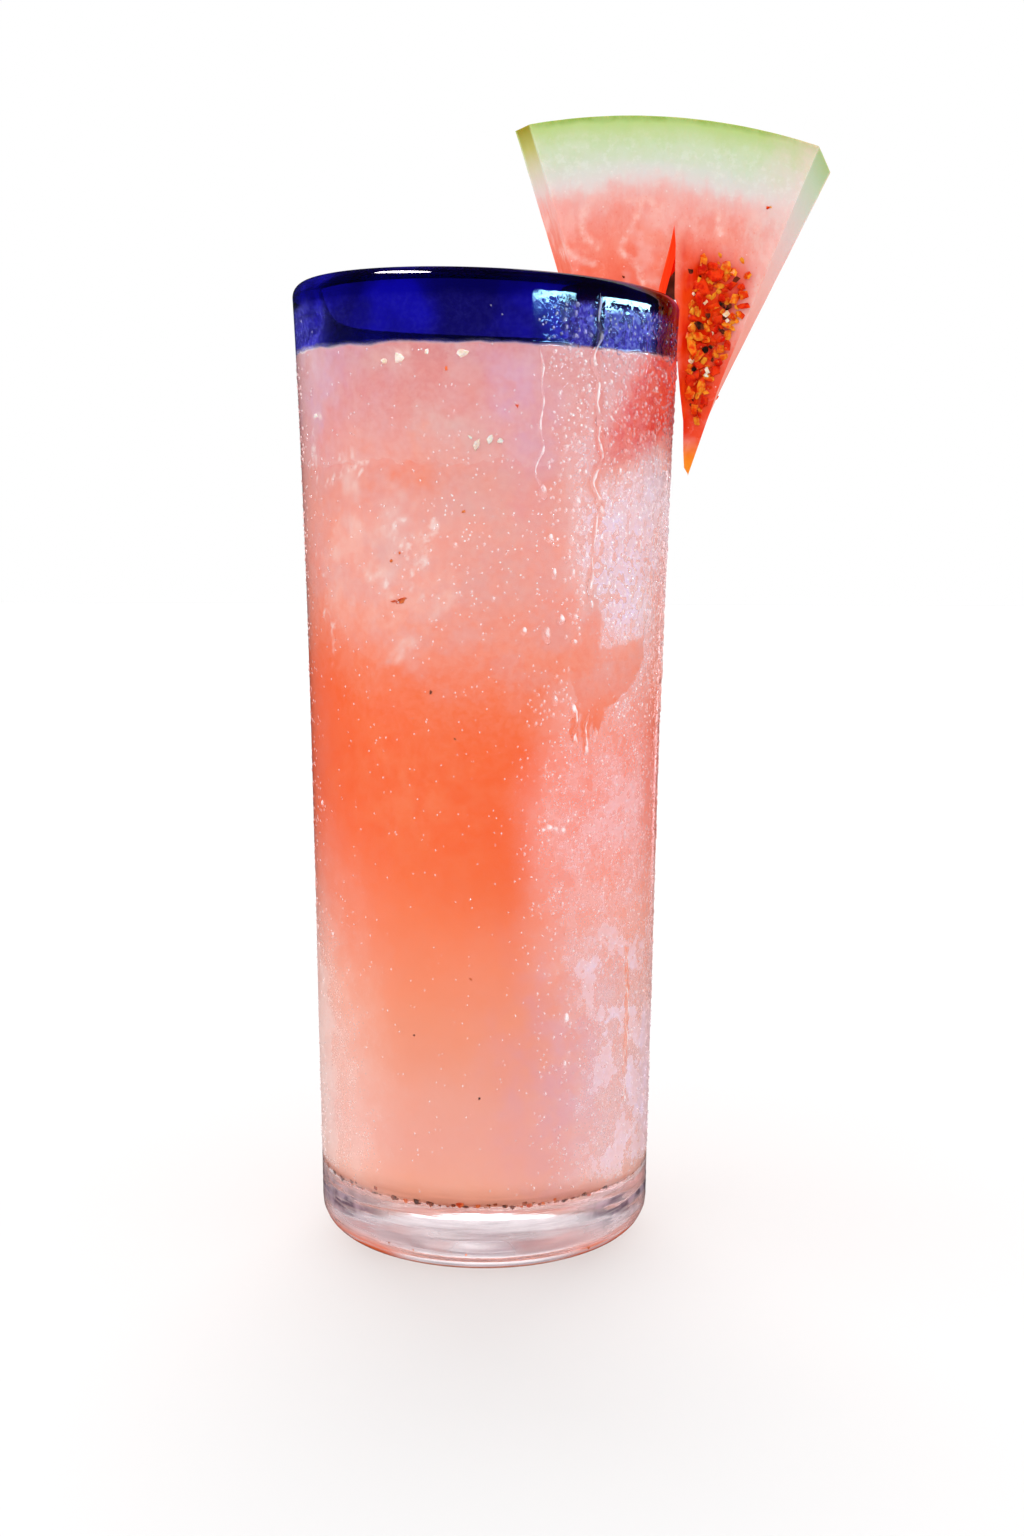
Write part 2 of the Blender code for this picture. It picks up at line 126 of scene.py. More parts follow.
def paint(r, g, b):
    """The paint that looks like this colour, given from 0 to 255, in the scene's light."""
    linear = []
    for value in (r / 255.0, g / 255.0, b / 255.0):
        value = value / 12.92 if value <= 0.04045 else ((value + 0.055) / 1.055) ** 2.4
        linear.append(min(value / WHITE_GAIN, BRIGHTEST))
    return (*linear, 1.0)


def tone(value):
    """A colour of three numbers is given as it looks, one of four as it is."""
    return paint(*value) if isinstance(value, tuple) and len(value) == 3 else value


# Node graphs


class Value:
    """A node's output. Sums with it make math nodes."""

    def __init__(self, graph, socket):
        self.graph = graph
        self.socket = socket

    def __add__(self, other):
        return self.graph.math("ADD", self, other)

    def __radd__(self, other):
        return self.graph.math("ADD", other, self)

    def __sub__(self, other):
        return self.graph.math("SUBTRACT", self, other)

    def __rsub__(self, other):
        return self.graph.math("SUBTRACT", other, self)

    def __mul__(self, other):
        return self.graph.math("MULTIPLY", self, other)

    def __pow__(self, other):
        return self.graph.math("POWER", self, other)

    def __abs__(self):
        return self.graph.math("ABSOLUTE", self)

    def held(self):
        # Kept between 0 and 1
        self.socket.node.use_clamp = True
        return self

    def span(self, low, high, to_low=0.0, to_high=1.0):
        node = self.graph.node("ShaderNodeMapRange", {"interpolation_type": "SMOOTHSTEP"}, Value=self,
                               From_Min=low, From_Max=high, To_Min=to_low, To_Max=to_high)
        return Value(self.graph, node.outputs[0])


class Graph:
    def __init__(self, name):
        self.material = bpy.data.materials.new(name)
        self.material.use_nodes = True
        self.tree = self.material.node_tree
        self.tree.nodes.clear()
        self.place = self.add("ShaderNodeTexCoord", "Object")

    def __getitem__(self, name):
        # Numbers kept on the mesh
        return self.add("ShaderNodeAttribute", "Fac", {"attribute_name": name})

    def feed(self, socket, value):
        if isinstance(value, Value):
            self.tree.links.new(value.socket, socket)
        else:
            socket.default_value = value

    def node(self, kind, settings=None, **inputs):
        node = self.tree.nodes.new(kind)
        for key, value in (settings or {}).items():
            setattr(node, key, value)
        for key, value in inputs.items():
            self.feed(node.inputs[key.replace("_", " ")], value)
        return node

    def add(self, kind, output, settings=None, **inputs):
        return Value(self, self.node(kind, settings, **inputs).outputs[output])

    def math(self, operation, a, b=0.0):
        node = self.node("ShaderNodeMath", {"operation": operation})
        for socket, value in zip(node.inputs, (a, b, 0.0)):
            self.feed(socket, value)
        return Value(self, node.outputs[0])

    def mix(self, factor, a, b, blend="MIX"):
        node = self.node("ShaderNodeMix", {"data_type": "RGBA", "blend_type": blend})
        for index, value in ((0, factor), (6, tone(a)), (7, tone(b))):
            self.feed(node.inputs[index], value)
        return Value(self, node.outputs[2])

    def layers(self, body, *rows):
        # rows: how much, and the colour laid over what is there
        for amount, colour in rows:
            body = self.mix(amount, body, colour)
        return body

    def ramp(self, value, low, high, stops):
        # stops: position between low and high, and the colour's r, g, b
        scaled = self.add("ShaderNodeMapRange", 0, Value=value, From_Min=low, From_Max=high)
        node = self.node("ShaderNodeValToRGB", Fac=scaled)
        elements = node.color_ramp.elements
        while len(elements) < len(stops):
            elements.new(0.5)
        for element, (position, *colour) in zip(elements, stops):
            element.position = (position - low) / (high - low)
            element.color = paint(*colour)
        return Value(self, node.outputs[0])

    def noise(self, size, detail=2.0, roughness=0.5, stretch=None):
        vector = self.place
        if stretch:
            node = self.node("ShaderNodeVectorMath", {"operation": "MULTIPLY"})
            self.feed(node.inputs[0], self.place)
            node.inputs[1].default_value = stretch
            vector = Value(self, node.outputs[0])
        return self.add("ShaderNodeTexNoise", "Fac", Vector=vector, Scale=1000.0 / size, Detail=detail,
                        Roughness=roughness)

    def cells(self, size, low, high):
        # Small dots, one in each cell of this size
        distance = self.add("ShaderNodeTexVoronoi", "Distance", Vector=self.place, Scale=1000.0 / size)
        return distance.span(low, high, 1.0, 0.0)

    def lines(self, noise):
        return abs(noise - 0.5).span(0.0, 0.03, 1.0, 0.0)

    def bump(self, height, distance_mm, strength=1.0):
        return self.add("ShaderNodeBump", 0, Strength=strength, Distance=distance_mm * MM, Height=height)

    def finish(self, lets_light_through=False, **inputs):
        surface = self.add("ShaderNodeBsdfPrincipled", 0, **inputs)
        if lets_light_through:
            rays = self.node("ShaderNodeLightPath")
            kinds = [Value(self, rays.outputs[kind]) for kind in ("Is Shadow Ray", "Is Diffuse Ray")]
            node = self.node("ShaderNodeMixShader")
            clear = self.add("ShaderNodeBsdfTransparent", 0)
            for socket, value in zip(node.inputs, (self.math("MAXIMUM", *kinds), surface, clear)):
                self.feed(socket, value)
            surface = Value(self, node.outputs[0])
        self.node("ShaderNodeOutputMaterial", Surface=surface)
        return self.material


# Numbers over the surface


def smooth(low, high, x):
    t = np.clip((x - low) / (high - low), 0.0, 1.0)
    return t * t * (3.0 - 2.0 * t)


def bump_at(x, middle, width):
    return np.exp(-((x - middle) / width) ** 2)


def ripple(points, size, seed, octaves=3):
    # Smooth noise from about -1 to 1, the same for the same seed
    rng = np.random.default_rng(seed)
    total = np.zeros(len(points))
    for octave in range(octaves):
        for _ in range(6):
            way = rng.normal(size=3)
            way *= rng.uniform(0.6, 1.4) / np.linalg.norm(way)
            angle = points @ way * math.tau / size * 2 ** octave + rng.uniform(0, math.tau)
            total += np.sin(angle) * 0.5 ** octave
    return total / 4.2


def round_table(phi, table):
    # Values given at angles round the glass, joined up
    angles = np.array([row[0] for row in table] + [table[0][0] + 360.0])
    values = np.array([row[1] for row in table] + [table[0][1]])
    return np.interp((phi - angles[0]) % 360.0 + angles[0], angles, values)


def around(verts):
    # phi, z and distance from the axis
    x, y, z = verts.T
    return np.degrees(np.arctan2(x, -y)), z, np.hypot(x, y)


def to_arc(phi, z):
    return np.radians(phi) * WALL_RADIUS, z


def segment_distance(s, z, a, b):
    ds, dz = b[0] - a[0], b[1] - a[1]
    t = np.clip(((s - a[0]) * ds + (z - a[1]) * dz) / max(ds * ds + dz * dz, 1e-9), 0.0, 1.0)
    return np.hypot(s - a[0] - t * ds, z - a[1] - t * dz), t


def line_distance(s, z, path):
    # Distance to a line of points (s, z, half width): negative inside its width
    best = np.full(s.shape, FAR)
    for a, b in zip(path, path[1:]):
        distance, t = segment_distance(s, z, a, b)
        best = np.minimum(best, distance - (a[2] + (b[2] - a[2]) * t))
    return best


def outline_distance(s, z, outline):
    # Distance to a closed outline, negative inside
    best = np.full(s.shape, FAR)
    inside = np.zeros(s.shape, bool)
    for a, b in zip(outline, outline[1:] + outline[:1]):
        distance, _ = segment_distance(s, z, a, b)
        best = np.minimum(best, distance)
        crosses = (a[1] > z) != (b[1] > z)
        at = a[0] + (z - a[1]) / (b[1] - a[1] if b[1] != a[1] else 1e-9) * (b[0] - a[0])
        inside ^= crosses & (s < at)
    return np.where(inside, -best, best)


def wrapped(function, phi, z, points):
    # The same shape seen from either side of the seam at the back; points start with phi and z
    path = [(*to_arc(p[0], p[1]), *p[2:]) for p in points]
    s, z = to_arc(phi, z)
    turn = math.tau * WALL_RADIUS
    here, before, after = [function(s + moved, z, path) for moved in (0.0, -turn, turn)]
    return np.minimum(here, np.minimum(before, after))


# Meshes


def add_object(name, data):
    item = bpy.data.objects.new(name, data)
    bpy.context.scene.collection.objects.link(item)
    return item


def dress(item, material, fields=None, sharp=None):
    """Give a piece its numbers, material and body."""
    mesh = item.data
    for key, values in (fields or {}).items():
        layer = mesh.attributes.new(key, "FLOAT", "POINT")
        layer.data.foreach_set("value", np.asarray(values, np.float32))
    mesh.shade_smooth()
    if sharp is not None:
        mesh.set_sharp_from_angle(angle=math.radians(sharp))
    mesh.materials.clear()
    mesh.materials.append(material)
    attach(item, "root")


def mesh_piece(name, verts_mm, faces, material, fields=None, sharp=None):
    mesh = bpy.data.meshes.new(name)
    mesh.from_pydata((np.asarray(verts_mm, float) * MM).tolist(), [], faces)
    mesh.update()
    item = add_object(name, mesh)
    dress(item, material, fields, sharp)
    return item


def bm_object(name, bm):
    mesh = bpy.data.meshes.new(name)
    bm.to_mesh(mesh)
    bm.free()
    return add_object(name, mesh)


def join_rings(a, b, count):
    # Faces between two rings of vertices that start at a and b
    here = np.arange(count)
    following = (here + 1) % count
    return np.column_stack([a + here, a + following, b + following, b + here]).tolist()


def lathe(profile, steps):
    # profile: (r, z) from the axis round to the axis again. Returns vertices and faces.
    angles = np.arange(steps) / steps * math.tau
    ring = np.stack([np.sin(angles), -np.cos(angles)], 1)
    rings = [np.column_stack([ring * r, np.full(steps, z)]) for r, z in profile[1:-1]]
    ends = [np.array([[0.0, 0.0, profile[end][1]]]) for end in (0, -1)]
    verts = np.concatenate([ends[0], *rings, ends[1]])
    last = 1 + (len(rings) - 1) * steps
    faces = [(0, 1 + (i + 1) % steps, 1 + i) for i in range(steps)]
    for a in range(1, last, steps):
        faces += join_rings(a, a + steps, steps)
    faces += [(last + i, last + (i + 1) % steps, len(verts) - 1) for i in range(steps)]
    return verts, faces


def arc(centre_r, centre_z, radius_r, radius_z, start, end, steps):
    turn = np.radians(np.linspace(start, end, steps + 1))
    return list(zip(centre_r + radius_r * np.cos(turn), centre_z + radius_z * np.sin(turn)))


# Glass


def outer_radius(z):
    t = z / GLASS_HEIGHT
    return BASE_RADIUS + FLARE * (FLARE_STRAIGHT * t + (1.0 - FLARE_STRAIGHT) * t ** 4)


def inner_radius(z):
    start = GLASS_HEIGHT - BEAD_HEIGHT
    ease = smooth(0.0, 1.0, (z - start) / (BEAD_HEIGHT - LIP_ROUNDING))
    return outer_radius(z) - WALL - (LIP_BEAD - WALL) * ease


LIP_Z = GLASS_HEIGHT - LIP_ROUNDING
LIP_R = outer_radius(LIP_Z) - LIP_BEAD / 2
CORNER_Z = FLOOR_HEIGHT + FLOOR_ROUNDING
CORNER_R = inner_radius(CORNER_Z) - FLOOR_ROUNDING


def slanted(verts):
    moved = np.array(verts, float)
    moved[:, 2] -= moved[:, 0] * LIP_SLANT * np.clip(moved[:, 2] / GLASS_HEIGHT, 0.0, 2.0) ** 3
    return moved


# Places without mist: the track of a drop (phi, z, half width) and wiped patches (phi, z)
TRACKS = (
    ((33.0, 175.0, 0.5), (34.0, 168.3, 0.9), (32.8, 165.7, 0.8), (32.2, 162.8, 1.0), (34.0, 159.0, 0.8),
     (34.2, 153.2, 1.0), (36.0, 147.2, 0.7), (33.0, 142.6, 1.0), (36.2, 138.2, 0.8), (34.0, 134.4, 0.5),
     (34.0, 129.2, 0.4), (33.0, 125.4, 0.8), (34.0, 121.0, 0.9)),
    ((16.0, 165.2, 0.35), (16.0, 161.9, 0.5), (17.2, 157.8, 0.4), (16.0, 154.4, 0.6), (17.0, 149.5, 0.5),
     (16.0, 146.9, 0.7), (15.0, 143.6, 0.4), (17.0, 141.1, 0.8)),
    ((33.8, 103.0, 0.8), (32.6, 97.5, 0.6), (33.0, 95.0, 0.4)),
    ((29.5, 104.0, 0.7), (28.6, 99.5, 0.8), (29.0, 97.5, 0.5)),
    ((54.0, 58.0, 0.5), (55.0, 45.0, 0.7), (54.2, 30.0, 0.4)),
    ((104.0, 158.0, 0.6), (102.0, 146.0, 0.9), (105.0, 131.0, 0.6), (103.0, 112.0, 0.8), (104.5, 96.0, 0.5)),
    ((151.0, 163.0, 0.4), (153.0, 149.0, 0.8), (150.0, 133.0, 0.6), (152.0, 118.0, 0.9)),
    ((-148.0, 150.0, 0.6), (-146.0, 128.0, 0.8), (-149.0, 104.0, 0.7), (-147.0, 88.0, 1.0)),
    ((-104.0, 142.0, 0.4), (-102.0, 120.0, 0.7), (-103.5, 99.0, 0.5)),
)
PATCHES = (
    ((34, 123.6), (36, 122.6), (38, 117.8), (37, 113.8), (42, 113.7), (50, 114.6), (58, 115.5), (59, 112.0),
     (54, 108.0), (46, 104.7), (40, 103.1), (37, 98.4), (35, 102.0), (34, 98.5), (31, 99.8), (31, 103.8),
     (28, 106.6), (27, 112.7), (31, 115.3), (31, 118.4), (34, 120.1)),
    ((150, 119), (156, 114), (166, 112), (170, 106), (160, 101), (152, 96), (147, 103), (145, 112)),
    ((-149, 90), (-142, 86), (-138, 78), (-147, 70), (-156, 76), (-155, 85)),
)
# Lower edge of the melon seen through the glass, with fog below it: phi, z, rise in mm a degree
LEG_EDGE = (42.6, 142.9, 0.26)
# Left edge of the misted side of the front: z, phi
MIST_EDGE = ((0.0, 12.0), (28.0, 13.0), (51.4, 11.0), (66.0, 8.0), (74.0, 6.5), (79.3, 4.5), (92.3, 6.0),
             (104.8, 13.0), (112.0, 22.0), (124.0, 22.0), (140.0, 17.0), (166.0, 15.0), (180.0, 14.0))
# Upper edge of the drink's film and lower edge of the cobalt: phi, z
BAND_EDGE = ((-180, 165.9), (-120, 165.2), (-70, 165.6), (-41, 165.5), (-18, 165.6), (1, 165.7), (21, 165.7),
             (42, 165.7), (62, 166.2), (78, 166.8), (130, 166.0))


def mist_edge(z):
    return np.interp(z, *zip(*MIST_EDGE))


def dry_distance(phi, z):
    # Distance to the nearest dry shape, negative inside it
    best = np.full(len(phi), FAR)
    for function, shapes in ((line_distance, TRACKS), (outline_distance, PATCHES)):
        for shape in shapes:
            best = np.minimum(best, wrapped(function, phi, z, shape))
    return best


def leg_shape(z, phi, edge, low, high, first, last):
    # The melon's leg seen through the glass: above its lower edge, right of a slanted one
    left = phi - 41.0 - 1.0 * (z - 149.5)
    return smooth(low, high, z - edge) * smooth(first, last, left)


def mist_fields(points, phi, z):
    """Mist over the outside of the glass: its strength, its lilac window tint (a painted reflection on the
    right side), the dry shapes, and beads.
    """
    turned = np.where(phi < -100.0, phi + 360.0, phi)
    sides = np.abs(phi)
    edge = mist_edge(z) + 1.6 * ripple(points, 17.0, 5)
    soft = 21.0 - 5.0 * smooth(112.0, 130.0, z) + 14.0 * (1 - smooth(45.0, 66.0, z))
    right = smooth(0.0, soft, turned - edge) * (1.0 - smooth(215.0, 240.0, turned))
    leg_edge = LEG_EDGE[1] + LEG_EDGE[2] * (np.clip(turned, 30.0, 88.0) - LEG_EDGE[0])
    leg_edge = leg_edge + 1.0 * ripple(points, 8.0, 6)
    fog_and_window_tint = right * smooth(-1.0, 7.0, leg_edge - z) * smooth(124.0, 139.0, z)
    fog_and_window_tint *= smooth(29.0, 50.0, turned + 5.0 * ripple(points, 7.0, 9))
    fog_and_window_tint *= 1.0 - 0.5 * smooth(84.0, 110.0, turned)
    strong = 0.26 + 0.18 * bump_at(z, 128.0, 15.0) + 0.08 * smooth(28, 50, turned)
    strong += 0.07 * bump_at(z, 62.0, 26.0)
    strong += 0.11 * bump_at(z, 86.0, 9.5)
    strong *= 1.0 - 0.75 * bump_at(turned, 75.0, 13.0) * smooth(56.0, 84.0, z)
    strong *= 1.0 - 0.35 * smooth(146.0, 156.0, z)
    low = smooth(54.0, 75.0, sides) * smooth(74.0, 36.0, z) * (1.0 - 0.4 * smooth(95.0, 130.0, sides))
    left = smooth(-46.0, -72.0, phi) * (1.0 - smooth(-215, -240, phi))
    left *= 0.06 + 0.12 * smooth(150.0, 165.0, z)
    wide = smooth(-22.0, -62.0, phi) * smooth(92.0, 30.0, z)
    # The mist is thickest on the right: real condensation, which there also carries a painted veil of a
    # window's reflection
    haze = np.maximum(right * strong + 0.34 * fog_and_window_tint, low * 0.78) + left * (1 - right) + 0.40 * wide * (1 - low)
    haze += 0.02 + 0.04 * smooth(60.0, 20.0, z)
    haze *= 1.0 + 0.14 * ripple(points, 24.0, 8)
    # Over the melon's leg there are drops but hardly any haze
    leg = leg_shape(z, turned, leg_edge, -1.0, 4.0, -9.0, 4.0) * (turned < 100.0)
    haze *= 1.0 - 0.80 * leg
    # Density of the painted highlight dots that stand for tiny drops catching the light
    centre = smooth(-22.0, -8.0, phi) * smooth(26.0, 14.0, phi) * bump_at(z, 133.0, 20.0)
    glint_dot_density = right * (0.40 + 0.60 * smooth(92.0, 106.0, z)) * (1.0 - 0.5 * leg) + 0.55 * centre + 0.14
    glint_dot_density *= 1.0 - (1.0 - right) * smooth(163.0, 166.0, z)
    beads = right * (0.22 + 0.78 * bump_at(z, 128.0, 17.0) + 0.30 * smooth(140.0, 152.0, z))
    beads *= 1.0 - 0.5 * fog_and_window_tint
    off_foot = smooth(13.5, 17.0, z)
    # Painted shade: grey towards the sides of the foot; painted reflection of the juice low on its sides
    grey = smooth(24.0, 50.0, sides) * bump_at(z, 8.6, 4.4) + 0.34 * bump_at(z, 10.5, 2.4)
    warm = smooth(20.0, 38.0, sides) * smooth(130.0, 100.0, sides) * bump_at(z, 2.0, 2.4)
    return {
        "haze": np.clip(haze * (0.1 + 0.9 * off_foot), 0.0, 0.85),
        "window_tint": right * smooth(96.0, 122.0, z),
        "right": right,
        "low_right": right * smooth(76.0, 50.0, z) * smooth(78.0, 58.0, turned),
        "fog_and_window_tint": np.clip(fog_and_window_tint, 0, 1),
        "dry": np.clip(dry_distance(phi, z), -20.0, 20.0),
        "beads": np.clip(beads * off_foot, 0.0, 1.0),
        "glint_dot_density": np.clip(glint_dot_density * off_foot, 0.0, 1.0),
        "foot": 1.0 - off_foot,
        "near_lip": smooth(138.0, 150.0, z),
        "foot_side_shade": grey * (1 - off_foot),
        "foot_juice_reflection": np.clip(warm, 0, 1) * (1 - off_foot),
    }


def glass_profile():
    # Its points, and the number of the first one on the inside
    foot_r = outer_radius(FOOT_ROUNDING) - FOOT_ROUNDING
    outside = [(0.0, 0.35), (6.0, 0.30), (11.0, 0.18), (16.0, 0.06), (foot_r - 3.0, 0.0)]
    outside += arc(foot_r, FOOT_ROUNDING, FOOT_ROUNDING, FOOT_ROUNDING, -90, 0, 12)
    outside += [(outer_radius(z), z) for z in np.arange(FOOT_ROUNDING + 0.8, LIP_Z - 0.4, 0.80)]
    lip = arc(LIP_R, LIP_Z, LIP_BEAD / 2, LIP_ROUNDING, 0, 180, 26)
    heights = np.concatenate([np.arange(LIP_Z - 0.9, DRINK_LEVEL - 3.0, -0.9),
                              np.linspace(DRINK_LEVEL - 6.0, 22.0, 24)])
    inside = [(inner_radius(z), z) for z in heights]
    inside += arc(CORNER_R, CORNER_Z, FLOOR_ROUNDING, FLOOR_ROUNDING, 0, -90, 10)
    inside += [(r, FLOOR_HEIGHT) for r in (18.0, 9.0, 0.0)]
    return outside + lip + inside, len(outside) + 14


def glass_material():
    g = Graph("tumbler_glass")
    dry = g["dry"] + (g.noise(1.9, 3.0, 0.6) - 0.5) * 2.2
    misted = dry.span(-0.30, 0.45, 0.22, 1.0)
    cobalt = (g["band"] + (g.noise(4.0, 2.0) - 0.5) * 0.8).span(-0.25, 0.55)
    beads = g["beads"] * misted
    # Droplets run together: pale outlines with clearer water inside
    blobs = g.noise(1.5, 1.0, 0.4, (1.0, 1.0, 0.85))
    outline = abs(blobs - 0.5).span(0.012, 0.055, 1.0, 0.0)
    water = blobs.span(0.50, 0.60)
    small = g.cells(0.62, 0.10, 0.42)
    grainy = beads * (outline * 0.62 - water * 0.50) + 0.84
    small_beads = small * g.noise(2.2, 3.0, 0.6).span(0.36, 0.64)
    grainy = grainy + small_beads * (0.80 - cobalt * 0.45)
    patchy = g.noise(5.0, 3.0, 0.62).span(0.35, 0.65, 0.80, 1.14)
    haze = ((g["haze"] * misted) * (patchy * grainy)).held()
    deep = g.mix(g.noise(13.0, 3.0).span(0.40, 0.62), (0.001, 0.0005, 0.05, 1.0), (0.002, 0.001, 0.20, 1.0))
    glass = g.mix(g.noise(14.0).span(0.3, 0.7), (0.94, 0.945, 0.97, 1.0), (0.97, 0.965, 0.97, 1.0))
    glass = g.mix(cobalt, glass, deep)
    frost_and_window_tint = g.noise(8.0, 4.0, 0.68).span(0.505, 0.545) * g["low_right"]
    # Mist on the blue band looks violet blue
    mixed = g.noise(0.8, 2.0, 0.6).span(0.45, 0.62)
    violet = g.mix(mixed, (0.060, 0.050, 0.54, 1.0), (0.15, 0.16, 0.78, 1.0))
    # Painted reflection: on the right the mist, with its frost, upper part and fog, is tinted lilac as a
    # window's light would tint it; elsewhere it is a pinkish white
    white = g.layers(g.mix(g["right"], (250, 220, 212), (240, 205, 224)),
                     (g["low_right"], (212, 186, 208)),
                     (frost_and_window_tint, (238, 214, 238)),
                     (g["window_tint"], (232, 202, 234)),
                     (g["fog_and_window_tint"], (228, 204, 230)),
                     (cobalt, violet))
    haze = (haze * (cobalt * 1.7 + (0.94 + frost_and_window_tint * 0.75))).held()
    # The foot: brushed lines, painted grey shade towards the sides, and a painted orange reflection of the
    # juice low on its sides
    brushed = g.noise(3.2, 2.0, 0.62, (0.20, 0.20, 2.4))
    clear_foot = g.mix(brushed.span(0.35, 0.65), (0.62, 0.57, 0.60, 1.0), (0.93, 0.89, 0.91, 1.0))
    foot_side_shade = g["foot_side_shade"] * brushed.span(0.36, 0.60, 0.15, 1.0)
    foot_juice_reflection = g["foot_juice_reflection"] * brushed.span(0.36, 0.60, 0.45, 1.0)
    grey = g.mix(g.noise(4.0, 3.0).span(0.4, 0.6), (100, 84, 100), (166, 146, 160))
    film = (g["film"] * (1.0 - cobalt)).held()
    # Painted highlights: white points where droplets too small to model would catch the light
    gate = g.noise(3.2, 3.0, 0.6) + g["glint_dot_density"] * 0.30
    glint_dots = (g.cells(1.25, 0.09, 0.19) * misted) * gate.span(0.62, 0.70)
    glint_dots = (glint_dots * (g["glint_dot_density"] * (0.45 - cobalt * 0.43))).held()
    glass = g.layers(glass,
                     ((haze * (cobalt * 1.6 + 1.0)).held(), white),
                     (g["foot"], clear_foot),
                     (foot_side_shade * 0.90, grey),
                     ((foot_juice_reflection * 1.0).held(), (246, 112, 62)),
                     (film, juice_tone(g)),
                     ((glint_dots * 2.6).held(), g.mix(cobalt, (1.0, 0.97, 0.97, 1.0), (0.62, 0.66, 0.98, 1.0))))
    haze = (haze + glint_dots * 2.0).held()
    cover = ((haze + film) + (foot_side_shade * 0.66 + foot_juice_reflection * 1.0)).held()
    # Smoother near the lip, where lights would blur into a veil
    rough = (0.035 + (haze ** 0.6) * (0.42 - g["near_lip"] * 0.385)).held()
    height = (small * 0.5 + water * 1.1) * beads
    height = height + g.noise(16.0, 1.0) * ((1.0 - cobalt) * 0.5)
    height = height + g.noise(1.8, 2.0, 0.6, (1.0, 1.0, 0.6)) * (cobalt * 0.075)
    height = height + brushed * (g["foot_side_shade"].span(0.0, 0.1) * 0.4)
    return g.finish(True, Base_Color=glass, Roughness=rough, IOR=1.5,
                    Transmission_Weight=(1.0 - cover).held(), Normal=g.bump(height, 0.12, 0.8))


def build_glass():
    profile, inner_start = glass_profile()
    steps = 236
    verts, faces = lathe(profile, steps)
    row = np.concatenate([[0], np.repeat(np.arange(1, len(profile) - 1), steps), [len(profile) - 1]])
    inside = (row >= inner_start).astype(float)
    phi, z, radius = around(verts)
    # Blown glass is never quite round, and its foot keeps faint rings from the tools
    wave = 0.07 * ripple(verts, 46.0, 3, 2) * smooth(2.0, 12.0, z) * smooth(146.0, 124.0, z)
    rings = 0.035 * np.sin(z * 3.4 + 0.6 * np.sin(np.radians(phi) * 2))
    rings *= smooth(1.0, 3.0, z) * smooth(13.0, 9.0, z)
    out = (1.0 - inside) * smooth(3.0, 12.0, radius)
    where = np.maximum(out, inside * smooth(16.0, 22.0, z))
    factor = 1.0 + (wave + rings * (1 - inside)) * where / np.maximum(radius, 1.0)
    verts[:, :2] *= factor[:, None]
    fields = mist_fields(verts, phi, z)
    clear_lip = smooth(174.0, 172.4, z + 0.5 * ripple(verts, 7.0, 12))
    for key in ("haze", "beads", "glint_dot_density"):
        fields[key] = fields[key] * (1.0 - inside) * clear_lip
    for key in ("foot", "foot_side_shade", "foot_juice_reflection"):
        fields[key] = fields[key] * out
    fields["dry"] = np.where(inside > 0, 20.0, fields["dry"])
    fields["band"] = np.clip(z - (round_table(phi, BAND_EDGE) + 0.18 * ripple(verts, 11.0, 14)), -20, 20)
    # Juice and pulp cling to the inside above the drink, and the melon's leg shows through them
    film = inside * smooth(168.5, 166.0, z) * smooth(DRINK_LEVEL - 12.0, DRINK_LEVEL - 5.5, z)
    thin = 0.99 - 0.03 * smooth(158.0, 165.0, z) * (1 + ripple(verts, 9.0, 21))
    fields["film"] = np.clip(film * thin, 0.0, 0.98)
    fields.update(juice_fields(verts, phi, z))
    item = mesh_piece("tumbler", slanted(verts), faces, glass_material(), fields)
    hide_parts("glass")


# Drink


# Soft shapes seen in the drink: phi, z, half width, half height in mm, strength
JUICE_MARKS = {
    "pale": ((-30.3, 123.7, 11.0, 11.0, 0.46), (-27.0, 135.7, 3.0, 3.4, 0.65), (-45.8, 143.6, 3.0, 3.2, 0.75),
             (-13.2, 122.2, 1.8, 2.4, 0.70), (-24.8, 113.9, 2.6, 1.7, 0.55), (-34.5, 126.2, 2.8, 1.2, 0.60),
             (-54.7, 123.3, 4.0, 6.0, 0.35), (-48.0, 133.0, 5.0, 3.0, 0.35), (-27.3, 164.7, 1.6, 1.1, 0.80)),
    "grey": ((-12.0, 149.7, 5.5, 3.8, 0.75), (-31.5, 130.5, 4.6, 5.0, 0.60), (-32.7, 111.4, 2.8, 1.0, 0.55),
             (-3.0, 137.6, 9.0, 8.0, 0.45), (-32.7, 164.3, 3.0, 2.0, 0.60), (3.0, 122.0, 9.0, 7.0, 0.35),
             (-6.0, 164.2, 3.0, 1.6, 0.60)),
    "lilac": ((-58.0, 162.0, 10.0, 8.0, 0.85), (-66.0, 154.0, 7.0, 7.0, 0.50), (10.0, 161.5, 6.0, 7.0, 0.45),
              (15.0, 150.0, 4.5, 11.0, 0.60), (4.0, 158.0, 6.0, 6.0, 0.35), (33.0, 36.0, 14.0, 24.0, 0.50)),
    "warm": ((-24.4, 144.8, 9.0, 4.0, 0.60), (-57.2, 151.3, 3.0, 4.0, 0.55), (-20.5, 149.4, 1.6, 1.4, 0.60),
             (-58.0, 135.0, 5.0, 3.5, 0.40), (-44.0, 108.0, 6.0, 5.0, 0.40), (-24.0, 88.0, 20.0, 17.0, 0.75)),
}
